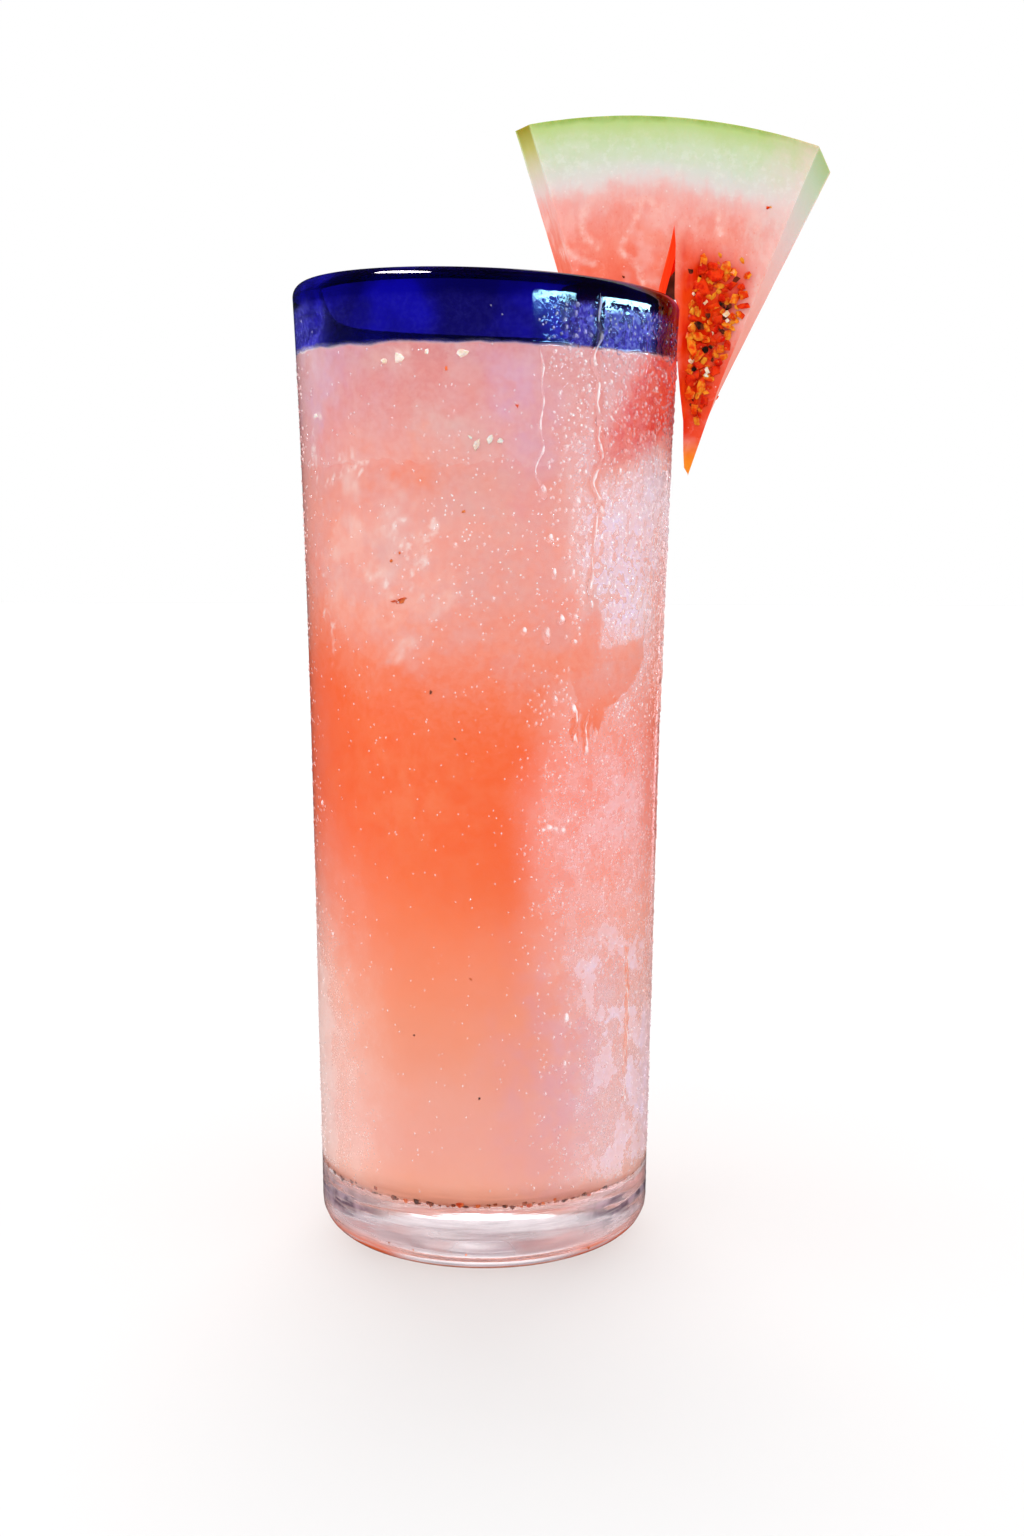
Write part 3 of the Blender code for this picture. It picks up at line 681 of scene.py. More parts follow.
# Bright lines in it, painted highlights along the edges of the ice: points of phi, z, half width
JUICE_LINES = (
    ((-55.6, 142.6, 0.06), (-55.0, 145.6, 0.10), (-51.4, 146.9, 0.16), (-44.6, 146.7, 0.12),
     (-39.7, 145.2, 0.16), (-37.6, 143.5, 0.10), (-39.2, 141.6, 0.06)),
    ((-20.3, 136.6, 0.14), (-20.6, 131.5, 0.34), (-21.1, 127.0, 0.26), (-21.3, 123.6, 0.12)),
    ((-29.5, 137.0, 0.3), (-26.1, 135.3, 0.6), (-24.2, 133.1, 0.3)),
    ((-38.9, 126.5, 0.2), (-35.0, 125.6, 0.5), (-32.1, 124.4, 0.25)),
    ((-64.4, 156.7, 0.1), (-67.2, 146.0, 0.4), (-65.7, 139.2, 0.2)),
    ((-62.6, 129.5, 0.1), (-61.2, 118.0, 0.3), (-58.8, 110.0, 0.1)),
    ((-48.5, 129.7, 0.08), (-42.0, 127.6, 0.14), (-38.0, 125.6, 0.08)),
)
# How much higher the orange zone reaches round the glass: phi, mm
WARM_EDGE = ((-180, 3.0), (-150, -3.0), (-120, 4.0), (-90, 10.0), (-73, 12.5), (-52, 8.0), (-38, 5.0),
             (-26, 4.0), (-16, 0.5), (-1, 0.5), (17, -2.0), (45, -5.0), (80, 2.0), (110, -2.0), (145, 5.0))
# The drink's colour by height
JUICE_COLOURS = (
    (11.0, 252, 166, 134), (15.0, 250, 166, 136), (19.0, 248, 165, 142), (24.0, 246, 162, 142),
    (32.0, 246, 161, 138), (40.0, 246, 152, 122), (48.0, 248, 146, 110), (56.0, 250, 137, 98),
    (64.0, 252, 124, 78), (72.0, 252, 108, 54), (80.0, 252, 95, 34), (88.0, 252, 90, 24),
    (96.0, 252, 95, 34), (102.0, 251, 108, 58), (108.0, 250, 124, 88), (115.0, 249, 138, 110),
    (124.0, 248, 146, 127), (134.0, 246, 154, 138), (143.0, 240, 149, 134), (151.0, 233, 142, 133),
    (159.0, 226, 128, 122), (168.0, 214, 112, 110),
)


def hidden_marks(rng):
    # The same kinds of shapes on the sides that the photograph does not show
    marks = {kind: list(rows) for kind, rows in JUICE_MARKS.items()}
    for kind, count in (("pale", 16), ("grey", 12), ("lilac", 6), ("warm", 9)):
        for _ in range(count):
            z = rng.uniform(152.0, 164.0) if kind == "lilac" else rng.uniform(112.0, 150.0)
            width = rng.uniform(2.0, 9.0)
            marks[kind].append((rng.uniform(40.0, 285.0), z, width, width * rng.uniform(0.5, 0.9),
                                rng.uniform(0.4, 0.7)))
    marks["warm"].append((155.0, 86.0, 24.0, 17.0, 0.6))
    return marks


def juice_fields(points, phi, z):
    """Tones of the drink at each point: its level in the ramp, soft shapes and bright lines painted as
    highlights on the ice's edges.
    """
    rng = np.random.default_rng(17)
    fields = {"level": z - round_table(phi, WARM_EDGE) * bump_at(z, 112.0, 22.0)}
    # The melon's inner leg shows red through the drink
    leg_edge = LEG_EDGE[1] + LEG_EDGE[2] * (phi - LEG_EDGE[0])
    leg = leg_shape(z, phi, leg_edge, -1.5, 5.0, -10.0, 4.0) * smooth(141.0, 153.5, z)
    leg = leg * (1.0 - 0.22 * smooth(68.0, 80.0, phi)) * smooth(100.0, 86.0, phi)
    fields["leg"] = np.clip(leg, 0, 1)
    # Uneven outlines
    phi = phi + 5.5 * ripple(points, 8.0, 31) + 2.0 * ripple(points, 2.8, 32)
    z = z + 2.8 * ripple(points, 9.0, 33) + 1.0 * ripple(points, 3.0, 34)
    for kind, rows in hidden_marks(rng).items():
        total = np.zeros(len(phi))
        for middle, height, wide, tall, strength in rows:
            away = np.radians((phi - middle + 180.0) % 360.0 - 180.0) * WALL_RADIUS
            total += strength * np.exp(-(away / wide) ** 2 - ((z - height) / tall) ** 2)
        fields[kind] = np.clip(total, 0.0, 1.0)
    streak = np.zeros(len(phi))
    behind = tuple(tuple((150.0 - p, h, w) for p, h, w in path) for path in JUICE_LINES)
    for path in JUICE_LINES + behind:
        streak = np.maximum(streak, smooth(0.50, 0.0, wrapped(line_distance, phi, z, path)))
    fields["streak"] = streak
    return fields


def juice_tone(g):
    """The pink of the drink and of the film above it, as nodes that read juice_fields."""
    soft = g.noise(2.6, 3.0, 0.6)
    drift = (g.noise(22.0, 3.0, 0.55) - 0.5) * 9.0
    level = (g["level"] + drift) + (g.noise(6.0, 3.0, 0.6) - 0.5) * 3.0
    patch = g.noise(4.0, 3.0, 0.62).span(0.32, 0.66, 0.55, 1.15)
    mottle = g.noise(6.5, 4.0, 0.68).span(0.40, 0.62)
    fine = g.noise(1.3, 2.0, 0.7).span(0.34, 0.66)
    wisps = g.noise(4.5, 4.0, 0.65, (1.0, 1.0, 0.55)).span(0.54, 0.72)
    streak = g["streak"] * soft.span(0.40, 0.62)
    leg = (g["leg"] * patch.span(0.55, 1.15, 0.90, 1.08)).held()
    return g.layers(g.ramp(level, 10.0, 168.0, JUICE_COLOURS),
                    ((g["warm"] * patch).held(), (253, 122, 74)),
                    ((g["lilac"] * patch).held(), (218, 154, 180)),
                    ((g["grey"] * patch).held(), (224, 172, 166)),
                    ((g["pale"] * patch).held(), (250, 202, 190)),
                    ((mottle * level.span(96.0, 118.0)) * 0.32, (226, 168, 168)),
                    ((fine * level.span(88.0, 116.0, 0.15, 1.0)) * 0.10, (255, 212, 198)),
                    ((wisps * g["pale"]) * 0.55, (255, 226, 218)),
                    # Painted highlights along the edges of the ice
                    (streak * 0.68, (255, 232, 226)),
                    (leg, g.mix(soft.span(0.35, 0.65), (230, 40, 14), (238, 82, 56))))


def drink_material():
    g = Graph("pink_drink")
    silt = (g["silt"] * g.noise(0.9, 3.0, 0.6).span(0.36, 0.60)).held()
    pulp = g.cells(2.4, 0.0, 0.10)
    body = g.layers(juice_tone(g), (pulp * 0.2, (236, 120, 92)), (silt * 0.8, (196, 110, 78)))
    return g.finish(Base_Color=body, Roughness=g.noise(2.6, 4.0, 0.6).span(0.2, 0.8, 0.28, 0.42), IOR=1.33,
                    Normal=g.bump(g.noise(1.5, 2.0), 0.05, 0.2), Specular_IOR_Level=0.2)


def behind_film(z):
    # The last millimetres lie flush behind the film, so that no line shows
    return smooth(DRINK_EDGE - 4.0, DRINK_EDGE - 6.2, z)


def build_drink():
    rounding = FLOOR_ROUNDING + DRINK_REACH
    across = DRINK_REACH + DRINK_GAP
    profile = [(r, FLOOR_HEIGHT - DRINK_REACH) for r in (0.0, 8.0, 16.0, 22.0)]
    profile += arc(CORNER_R, CORNER_Z, rounding, rounding, -90, 0, 20)
    for z in np.linspace(CORNER_Z + 0.7, DRINK_EDGE, 186):
        profile.append((inner_radius(z) - DRINK_GAP + across * behind_film(z), z))
    rim = inner_radius(DRINK_EDGE) - DRINK_GAP
    for inset, rise in ((0.25, 0.62), (0.7, 0.36), (1.3, 0.16), (2.2, 0.05), (3.6, 0.0)):
        profile.append((rim - inset, DRINK_LEVEL + rise))
    profile += [(r, DRINK_LEVEL) for r in (24.0, 20.0, 16.0, 12.0, 8.0, 4.0, 0.0)]
    verts, faces = lathe(profile, 300)
    top = smooth(DRINK_LEVEL - 0.5, DRINK_LEVEL - 0.1, verts[:, 2]) * (around(verts)[2] < rim - 3)
    verts[:, 2] += top * 0.12 * ripple(verts, 13.0, 31)
    phi, z, away = around(verts)
    # The wet line wanders
    lower = 1.1 + 1.1 * ripple(verts, 10.0, 35) + 0.5 * ripple(verts, 3.2, 36)
    lowered = behind_film(z + np.clip(lower, 0.0, 2.4)) - behind_film(z)
    factor = 1.0 + across * lowered * (z < DRINK_EDGE - 2.0) * (away > 20.0) / np.maximum(away, 1.0)
    verts[:, :2] *= factor[:, None]
    fields = juice_fields(verts, phi, z)
    fields["silt"] = 0.80 * bump_at(z, FLOOR_HEIGHT + 0.6, 0.42) * (around(verts)[2] > CORNER_R)
    item = mesh_piece("drink_body", verts, faces, drink_material(), fields)
    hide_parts("drink")


# Ice


def ice_material():
    g = Graph("wet_ice")
    cracks = g.lines(g.noise(6.0, 3.0, 0.55))
    low = g.add("ShaderNodeSeparateXYZ", 2, Vector=g.place).span(0.152, 0.163, 1.0, 0.0)
    body = g.layers(g.mix(g.noise(7.0, 4.0, 0.62).span(0.32, 0.68), (226, 160, 156), (247, 206, 198)),
                    (low * 0.7, (232, 146, 138)),
                    (cracks * 0.5, (255, 236, 230)))
    return g.finish(Base_Color=body, Roughness=g.noise(3.0).span(0.3, 0.7, 0.08, 0.24), IOR=1.31,
                    Normal=g.bump(g.noise(2.2, 3.0) + cracks * 0.4, 0.15, 0.4), Subsurface_Weight=0.45,
                    Subsurface_Radius=(1.0, 0.55, 0.5), Subsurface_Scale=0.004, Coat_Weight=0.8,
                    Coat_Roughness=0.04)


def cube_shell(steps):
    # The six faces of a cube as one welded grid, corners at -1 and 1
    bm = bmesh.new()
    bmesh.ops.create_cube(bm, size=2.0)
    bmesh.ops.subdivide_edges(bm, edges=bm.edges[:], cuts=steps, use_grid_fill=True)
    verts = np.array([v.co for v in bm.verts])
    faces = [[v.index for v in f.verts] for f in bm.faces]
    bm.free()
    return verts, faces


def build_ice():
    material = ice_material()
    shell, faces = cube_shell(22)
    for number, (name, middle, turn, sides) in enumerate(ICE_CUBES):
        half = np.array(sides) / 2.0
        full = shell * half
        core = np.clip(full, -(half - ICE_ROUNDING), half - ICE_ROUNDING)
        away = full - core
        length = np.maximum(np.linalg.norm(away, axis=1, keepdims=True), 1e-6)
        verts = core + away / length * ICE_ROUNDING
        # Melting leaves shallow hollows in the faces
        hollow = 0.35 * (0.5 + 0.5 * ripple(verts + 40.0 * number, 15.0, 51 + number))
        verts = verts - away / length * hollow[:, None]
        x, y, z = [Matrix.Rotation(math.radians(angle), 3, axis) for angle, axis in zip(turn, "XYZ")]
        verts = verts @ np.array(z @ y @ x).T + np.array(middle)
        item = mesh_piece(name + "_cube", verts, faces, material)
        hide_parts(name)


# Wedge


def wedge_section(depth):
    # depth: 0 at the front face, 1 at the back
    return [a + (b - a) * depth for a, b in zip(FRONT_SECTION, BACK_SECTION)]


def whole_reach(reach, lean, across):
    return reach + lean * (0.5 - across) + RIND_FLATNESS * ((2.0 * across - 1.0) ** 2 - 0.33)


def wedge_point(depth, along, across):
    # along: 0 at the point, 1 at the rind; across: 0 at the left cut, 1 at the right one
    point_x, left, right, reach, lean = wedge_section(depth)
    angle = math.radians(-left + (left + right) * across)
    radius = whole_reach(reach, lean, across) * along
    hollow = (RIGHT_HOLLOW * across - LEFT_HOLLOW * (1.0 - across)) * math.sin(math.pi * along)
    tip = TIP_SWELL * across * max(0.0, 1.0 - along / 0.45)
    swell = CUT_SWELL * math.sin(0.9 + 5.0 * along) * math.sin(0.6 + 4.0 * across) * (1.0 - depth * 2.0)
    y = -HALF_THICKNESS + 2.0 * HALF_THICKNESS * depth + swell * min(along * 3.0, 1.0)
    return point_x + radius * math.sin(angle) - hollow + tip, y, POINT_Z + radius * math.cos(angle)


def wedge_place(x, y, z):
    # Back from a point to its distance from the skin in mm, and across
    depth = np.clip((y + HALF_THICKNESS) / (2 * HALF_THICKNESS), 0.0, 1.0)
    point_x, left, right, reach, lean = wedge_section(depth)
    angle = np.degrees(np.arctan2(x - point_x, z - POINT_Z))
    across = np.clip((angle + left) / (left + right), -0.2, 1.2)
    return whole_reach(reach, lean, across) - np.hypot(x - point_x, z - POINT_Z), across


def face_y(x, z, front=True):
    # y of the cut face at x, z
    inward, across = wedge_place(x, -HALF_THICKNESS if front else HALF_THICKNESS, z)
    reach = (FRONT_SECTION if front else BACK_SECTION)[3]
    return wedge_point(0.0 if front else 1.0, 1.0 - inward / reach, across)[1]


def wall_x(wall, y, z):
    # x of one wall of the slit
    xs, heights = zip(*sorted(wall, key=lambda point: point[1]))
    return np.interp(z, heights, xs) + (y + HALF_THICKNESS) * SLIT_SLANT


SLIT_LEFT = LEFT_WALL + ((25.0, 141.7),)
SLIT_RIGHT = RIGHT_WALL + LEFT_WALL[:1]


def wedge_mesh():
    alongs = np.concatenate([np.linspace(0.03, 0.97, 140), [0.985, 0.995, 1.0]])
    depths = np.concatenate([[0.0, 0.018], np.linspace(0.06, 0.94, 15), [0.982, 1.0]])
    columns = 108
    bm = bmesh.new()
    rows = {}
    last_d, last_a = len(depths) - 1, len(alongs) - 1
    for d, depth in enumerate(depths):
        for a, along in enumerate(alongs):
            for c in range(columns + 1):
                if 0 < d < last_d and 0 < a < last_a and 0 < c < columns:
                    continue
                rows[d, a, c] = bm.verts.new([value * MM for value in wedge_point(depth, along, c / columns)])

    def patch(*keys):
        bm.faces.new([rows[key] for key in keys])

    for a in range(last_a):
        for c in range(columns):
            patch((0, a, c), (0, a, c + 1), (0, a + 1, c + 1), (0, a + 1, c))
            patch((last_d, a, c), (last_d, a + 1, c), (last_d, a + 1, c + 1), (last_d, a, c + 1))
        for d in range(last_d):
            patch((d, a, 0), (d, a + 1, 0), (d + 1, a + 1, 0), (d + 1, a, 0))
            patch((d, a, columns), (d + 1, a, columns), (d + 1, a + 1, columns), (d, a + 1, columns))
    for c in range(columns):
        for d in range(last_d):
            patch((d, 0, c), (d + 1, 0, c), (d + 1, 0, c + 1), (d, 0, c + 1))
            patch((d, last_a, c), (d, last_a, c + 1), (d + 1, last_a, c + 1), (d + 1, last_a, c))
    bmesh.ops.recalc_face_normals(bm, faces=bm.faces)
    return bm


def slit_cutter():
    bm = bmesh.new()
    reach = 20.0
    shift = (-reach + HALF_THICKNESS) * SLIT_SLANT
    outline = LEFT_WALL + SLIT_FOOT + RIGHT_WALL
    front = [bm.verts.new(((x + shift) * MM, -reach * MM, z * MM)) for x, z in outline]
    pushed = bmesh.ops.extrude_face_region(bm, geom=[bm.faces.new(front)])
    moved = [item for item in pushed["geom"] if isinstance(item, bmesh.types.BMVert)]
    bmesh.ops.translate(bm, verts=moved, vec=(2 * reach * SLIT_SLANT * MM, 2 * reach * MM, 0.0))
    bmesh.ops.recalc_face_normals(bm, faces=bm.faces)
    return bm_object("slit_cutter", bm)


def wall_cutter():
    gap = WALL_CLEARANCE
    profile = [(outer_radius(z) + gap, z) for z in range(120, 174, 6)]
    profile += arc(LIP_R, LIP_Z, LIP_BEAD / 2 + gap, LIP_ROUNDING + gap, 0, 180, 14)
    profile += [(inner_radius(z) - gap, z) for z in range(172, 119, -4)]
    steps = 128
    bm = bmesh.new()
    rings = []
    for i in range(steps):
        turn = math.tau * i / steps
        points = np.array([(r * math.cos(turn), r * math.sin(turn), z) for r, z in profile])
        rings.append([bm.verts.new(point) for point in (slanted(points) * MM).tolist()])
    for here, following in zip(rings, rings[1:] + rings[:1]):
        for k in range(len(profile)):
            m = (k + 1) % len(profile)
            bm.faces.new((here[k], following[k], following[m], here[m]))
    bmesh.ops.recalc_face_normals(bm, faces=bm.faces)
    return bm_object("wall_cutter", bm)


# Pale veins on the cut faces: x, z, half width
VEINS = (
    ((21.5, 195.5, 0.1), (18.4, 193.5, 0.16), (17.2, 190.5, 0.2), (18.0, 187.3, 0.16), (20.2, 185.6, 0.12)),
    ((28.0, 193.0, 0.12), (26.5, 189.0, 0.18), (24.8, 186.5, 0.12)),
    ((31.5, 192.5, 0.1), (29.0, 194.0, 0.14), (25.5, 193.6, 0.1)),
    ((13.8, 186.0, 0.12), (16.0, 183.6, 0.2), (19.5, 182.6, 0.12)),
    ((24.5, 184.8, 0.1), (27.5, 182.0, 0.16), (28.6, 179.2, 0.1)),
    ((39.5, 195.0, 0.1), (42.0, 191.6, 0.16), (42.6, 188.0, 0.12)),
    ((46.0, 196.0, 0.08), (48.6, 192.4, 0.14), (49.4, 189.0, 0.1)),
)
# Colours by distance from the skin, on the cut faces and on the two long sides; the long sides' ramps are
# painted light and shade, the left darker and olive as in shade, the right paler and greyer
RIND_COLOURS = ((0.0, 140, 176, 84), (0.5, 158, 190, 100), (1.3, 190, 213, 136), (3.0, 202, 218, 164),
                (5.0, 209, 222, 186), (7.5, 215, 222, 200), (9.5, 221, 220, 209), (11.5, 228, 216, 210),
                (14.0, 236, 208, 202))
FLESH_COLOURS = ((9.5, 232, 214, 209), (12.5, 236, 198, 192), (14.5, 241, 181, 173), (17.5, 245, 166, 153),
                 (21.5, 248, 150, 131), (26.5, 248, 128, 103), (32.0, 244, 104, 76), (40.0, 240, 86, 54),
                 (46.0, 236, 76, 46))
LEFT_COLOURS = ((0.5, 150, 140, 40), (4.0, 186, 182, 90), (8.0, 212, 200, 158), (12.0, 228, 178, 158),
                (16.0, 240, 148, 126), (22.0, 242, 120, 94))
RIGHT_COLOURS = ((0.5, 166, 192, 132), (5.0, 192, 206, 172), (10.0, 210, 206, 190), (16.0, 228, 198, 191),
                 (24.0, 240, 180, 170), (34.0, 244, 158, 142))


def wedge_material():
    g = Graph("melon_flesh")
    streaks = g.noise(2.2, 3.0, 0.6, (1.0, 1.0, 0.35))
    blotch = g.noise(7.0, 3.0, 0.6)
    depth = g["inward"]
    inward = depth + ((blotch - 0.5) * 7.0 + (streaks - 0.5) * 4.5)
    rind = g.ramp(depth + (blotch - 0.5) * 1.8, 0.0, 14.0, RIND_COLOURS)
    flesh = g.ramp(inward, 9.5, 46.0, FLESH_COLOURS)
    in_flesh = depth.span(12.0, 18.0)
    pale = (g["pale"] + (streaks - 0.5) * 0.45).span(0.10, 1.0)
    fibre = g.lines(g.noise(5.0, 4.0, 0.6))
    vein = (g["vein"] * 0.9 + fibre * 0.14).held() * in_flesh
    vein = vein * g.noise(1.7, 3.0, 0.65).span(0.36, 0.60, 0.25, 0.85)
    tissue = g.noise(2.6, 4.0, 0.7, (1.0, 1.0, 0.55)).span(0.38, 0.62)
    film = g.noise(9.0, 3.0, 0.6).span(0.50, 0.66)
    mottle = g.noise(3.4, 4.0, 0.68).span(0.40, 0.62)
    veil = g.noise(1.5, 3.0, 0.7).span(0.50, 0.66)
    stain = (g["stain"] * blotch.span(0.25, 0.6, 0.7, 1.1)).held()
    body = g.layers(rind,
                    (inward.span(10.5, 14.0), flesh),
                    (pale * 0.9, (236, 212, 205)),
                    (vein, (253, 206, 194)),
                    ((tissue * in_flesh) * 0.30, (240, 92, 66)),
                    ((film * in_flesh) * 0.38, (248, 196, 188)),
                    ((mottle * depth.span(12.0, 2.0)) * 0.34, (188, 212, 140)),
                    ((veil * (depth.span(18.0, 8.0) * depth.span(1.0, 7.0))) * 0.28, (240, 240, 230)),
                    ((g.cells(1.1, 0.0, 0.22) * in_flesh) * 0.35, (240, 96, 70)),
                    # Painted highlights: tiny white specks where the wet flesh would glint
                    ((g.cells(1.9, 0.0, 0.11) * depth.span(4.0, 14.0)) * 0.7, (255, 236, 230)),
                    # Painted light and shade: the long sides take their own ramps, darker and olive on the
                    # left, paler and greyer on the right
                    (g["side"] * depth.span(30.0, 16.0, 0.0, 0.9), g.ramp(depth, 0.0, 22.0, LEFT_COLOURS)),
                    (g["side_right"] * 0.9, g.ramp(depth, 0.0, 34.0, RIGHT_COLOURS)),
                    (stain, g.mix(streaks.span(0.35, 0.65), (240, 66, 16), (226, 34, 4))),
                    (g["tip"], (253, 150, 38)),
                    (g["slit"], (244, 62, 30)))
    body = g.mix(1.0, body, (0.94, 0.935, 0.95, 1.0), "MULTIPLY")
    height = (streaks * 0.6 + g.noise(0.75, 3.0, 0.65) * 0.5) * (g["flat"] * 0.85 + 0.15)
    return g.finish(Base_Color=body, Roughness=g.noise(1.6, 3.0, 0.7).span(0.42, 0.62, 0.42, 0.20), IOR=1.38,
                    Normal=g.bump(height, 0.10, 0.5), Specular_IOR_Level=0.0, Subsurface_Weight=0.3,
                    Subsurface_Radius=(1.0, 0.35, 0.25), Subsurface_Scale=0.003)


def right_cut(z):
    # x of the front face's right edge
    return 30.0 + (z - POINT_Z) * math.tan(math.radians(22.4))


def wedge_fields(points):
    x, y, z = points.T
    inward, across = wedge_place(x, y, z)
    width = np.maximum(82.0 - inward, 4.0) * 0.66
    from_left, from_right = across * width, (1.0 - across) * width
    on_face = smooth(HALF_THICKNESS - 1.5, HALF_THICKNESS - 0.6, np.abs(y))
    pale = 0.66 * smooth(15.0, 0.5, from_right) * smooth(54.0, 26.0, inward)
    inward = inward + 1.5 * bump_at(x, 30.0, 7.0) * smooth(7.0, 9.5, inward) * smooth(19.0, 14.0, inward)
    vein = np.zeros(len(x))
    mirrored = np.where(y > 0, 60.0 - x, x)
    for path in VEINS:
        vein = np.maximum(vein, smooth(0.95, -0.10, line_distance(mirrored, z, path)))
    # Chili oil round the flakes on the outer leg
    outer = smooth(34.6, 36.2, x)
    stain = outer * smooth(189.0, 180.0, z + 0.35 * (x - 40.0)) * smooth(145.0, 151.0, z)
    stain *= smooth(0.3, 4.6, right_cut(z) - x - 0.9) * (0.94 + 0.12 * ripple(points, 8.0, 61))
    at_slit = smooth(1.6, 0.2, np.abs(x - wall_x(SLIT_LEFT, y, z)))
    return {
        "inward": inward,
        "pale": np.clip(pale, 0, 1),
        "vein": vein,
        "stain": np.clip(stain, 0, 1),
        "tip": outer * smooth(152.0, 146.5, z) * 0.9,
        "slit": (1.0 - on_face) * at_slit * smooth(190.5, 188.0, z),
        "side": (1.0 - on_face) * smooth(0.5, 0.1, from_left),
        "side_right": (1.0 - on_face) * smooth(0.5, 0.1, from_right),
        "flat": on_face,
    }


def slit_material():
    # Painted light: the walls of the slit glow red, standing in for light that comes through the flesh on to
    # them
    g = Graph("melon_slit_glow")
    body = g.mix(g.noise(3.0, 3.0).span(0.3, 0.7), (226, 54, 20), (242, 92, 44))
    return g.finish(Base_Color=body, Roughness=g.noise(1.5).span(0.3, 0.7, 0.35, 0.6), IOR=1.38,
                    Normal=g.bump(g.noise(1.2, 2.0), 0.08, 0.4), Specular_IOR_Level=0.0,
                    Emission_Color=(1.0, 0.10, 0.02, 1.0), Emission_Strength=0.36)


def slit_shade_material():
    g = Graph("melon_slit_shade")
    # Painted shade: red above, dark below, following the shade attribute
    shade = (g["shade"] + (g.noise(2.0, 3.0) - 0.5) * 0.5).span(0.35, 0.60)
    dark = g.mix(g.noise(1.4, 3.0).span(0.35, 0.65), (0.060, 0.075, 0.060, 1.0), (0.105, 0.120, 0.095, 1.0))
    return g.finish(Base_Color=g.mix(shade, (236, 66, 26), dark), Roughness=0.8, Specular_IOR_Level=0.0)


def build_slit_shade():
    # Painted shade: a sheet near the back closes the slit above the lip, red at its top and nearly black
    # below, standing in for the shade deep in the slit
    rows, columns = 26, 7
    back = HALF_THICKNESS - 1.2
    thick = 0.8
    # How far it runs into the flesh on either side
    reach = 0.15
    verts, shade, faces = [], [], []
    for y in (back - thick, back):
        for z in np.linspace(GLASS_HEIGHT + 0.25, 189.0, rows):
            left = wall_x(SLIT_LEFT, y, z) - reach
            right = wall_x(SLIT_RIGHT, y, z) + reach
            for across in np.arange(columns) / (columns - 1):
                verts.append((left + (right - left) * across, y, z))
                shade.append(0.5 + (182.0 + 3.8 * across - z) * 0.5)
    sheet = rows * columns
    for k in range(rows - 1):
        for i in range(columns - 1):
            a = k * columns + i
            faces.append((a, a + 1, a + columns + 1, a + columns))
            faces.append((sheet + a, sheet + a + columns, sheet + a + columns + 1, sheet + a + 1))
    for i in range(columns - 1):
        faces.append((i, sheet + i, sheet + i + 1, i + 1))
        a = (rows - 1) * columns + i
        faces.append((a, a + 1, sheet + a + 1, sheet + a))
    mesh_piece("wedge_slit_shade", verts, faces, slit_shade_material(), {"shade": shade}, 38.0)


def build_slit(flesh):
    # The walls of the slit above the rim, split off from the flesh as a piece of their own that glows with
    # painted light
    mesh = flesh.data
    points = np.array([v.co for v in mesh.vertices]) / MM
    x, y, z = np.array([np.mean(points[list(f.vertices)], axis=0) for f in mesh.polygons]).T
    close = [np.abs(x - wall_x(wall, y, z)) < 0.35 for wall in (SLIT_LEFT, SLIT_RIGHT)]
    sideways = np.abs([f.normal[0] for f in mesh.polygons]) > 0.7
    picked = (close[0] | close[1]) & (z > 160.0) & sideways & (np.abs(y) < HALF_THICKNESS + 0.5)
    used = sorted({i for f, yes in zip(mesh.polygons, picked) if yes for i in f.vertices})
    order = {old: new for new, old in enumerate(used)}
    faces = [tuple(order[i] for i in f.vertices) for f, yes in zip(mesh.polygons, picked) if yes]
    bm = bmesh.new()
    bm.from_mesh(mesh)
    bm.faces.ensure_lookup_table()
    bmesh.ops.delete(bm, geom=[bm.faces[i] for i in np.flatnonzero(picked)], context="FACES_ONLY")
    bm.to_mesh(mesh)
    bm.free()
    mesh_piece("wedge_slit_glow", points[used], faces, slit_material(), sharp=38.0)


def build_wedge():
    item = bm_object("wedge_flesh", wedge_mesh())
    cutters = (slit_cutter(), wall_cutter())
    for cutter in cutters:
        step = item.modifiers.new(cutter.name, "BOOLEAN")
        step.operation = "DIFFERENCE"
        step.solver = "EXACT"
        step.object = cutter
    graph = bpy.context.evaluated_depsgraph_get()
    mesh = bpy.data.meshes.new_from_object(item.evaluated_get(graph))
    item.modifiers.clear()
    item.data = mesh
    mesh.name = "wedge_flesh"
    for cutter in cutters:
        bpy.data.objects.remove(cutter, do_unlink=True)
    points = np.array([v.co for v in mesh.vertices]) / MM
    normals = np.array([v.normal for v in mesh.vertices])
    # Shallow relief of the cut flesh, fading out near the glass
    near_glass = smooth(1.2, 3.0, np.abs(around(points)[2] - 33.5))
    relief = 0.09 * ripple(points * (1, 1, 0.5), 4.2, 71, 2)
    relief *= np.where(points[:, 2] > GLASS_HEIGHT + 0.5, 1.0, near_glass)
    relief *= 0.2 + 0.8 * smooth(0.8, 0.97, np.abs(normals[:, 1]))
    points += normals * relief[:, None]
    mesh.vertices.foreach_set("co", (points * MM).astype(np.float32).ravel())
    dress(item, wedge_material(), wedge_fields(points), 38.0)
    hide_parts("wedge")
    build_slit(item)
    build_slit_shade()


# Flakes, grains and specks: thin broken chips joined into one mesh for each kind


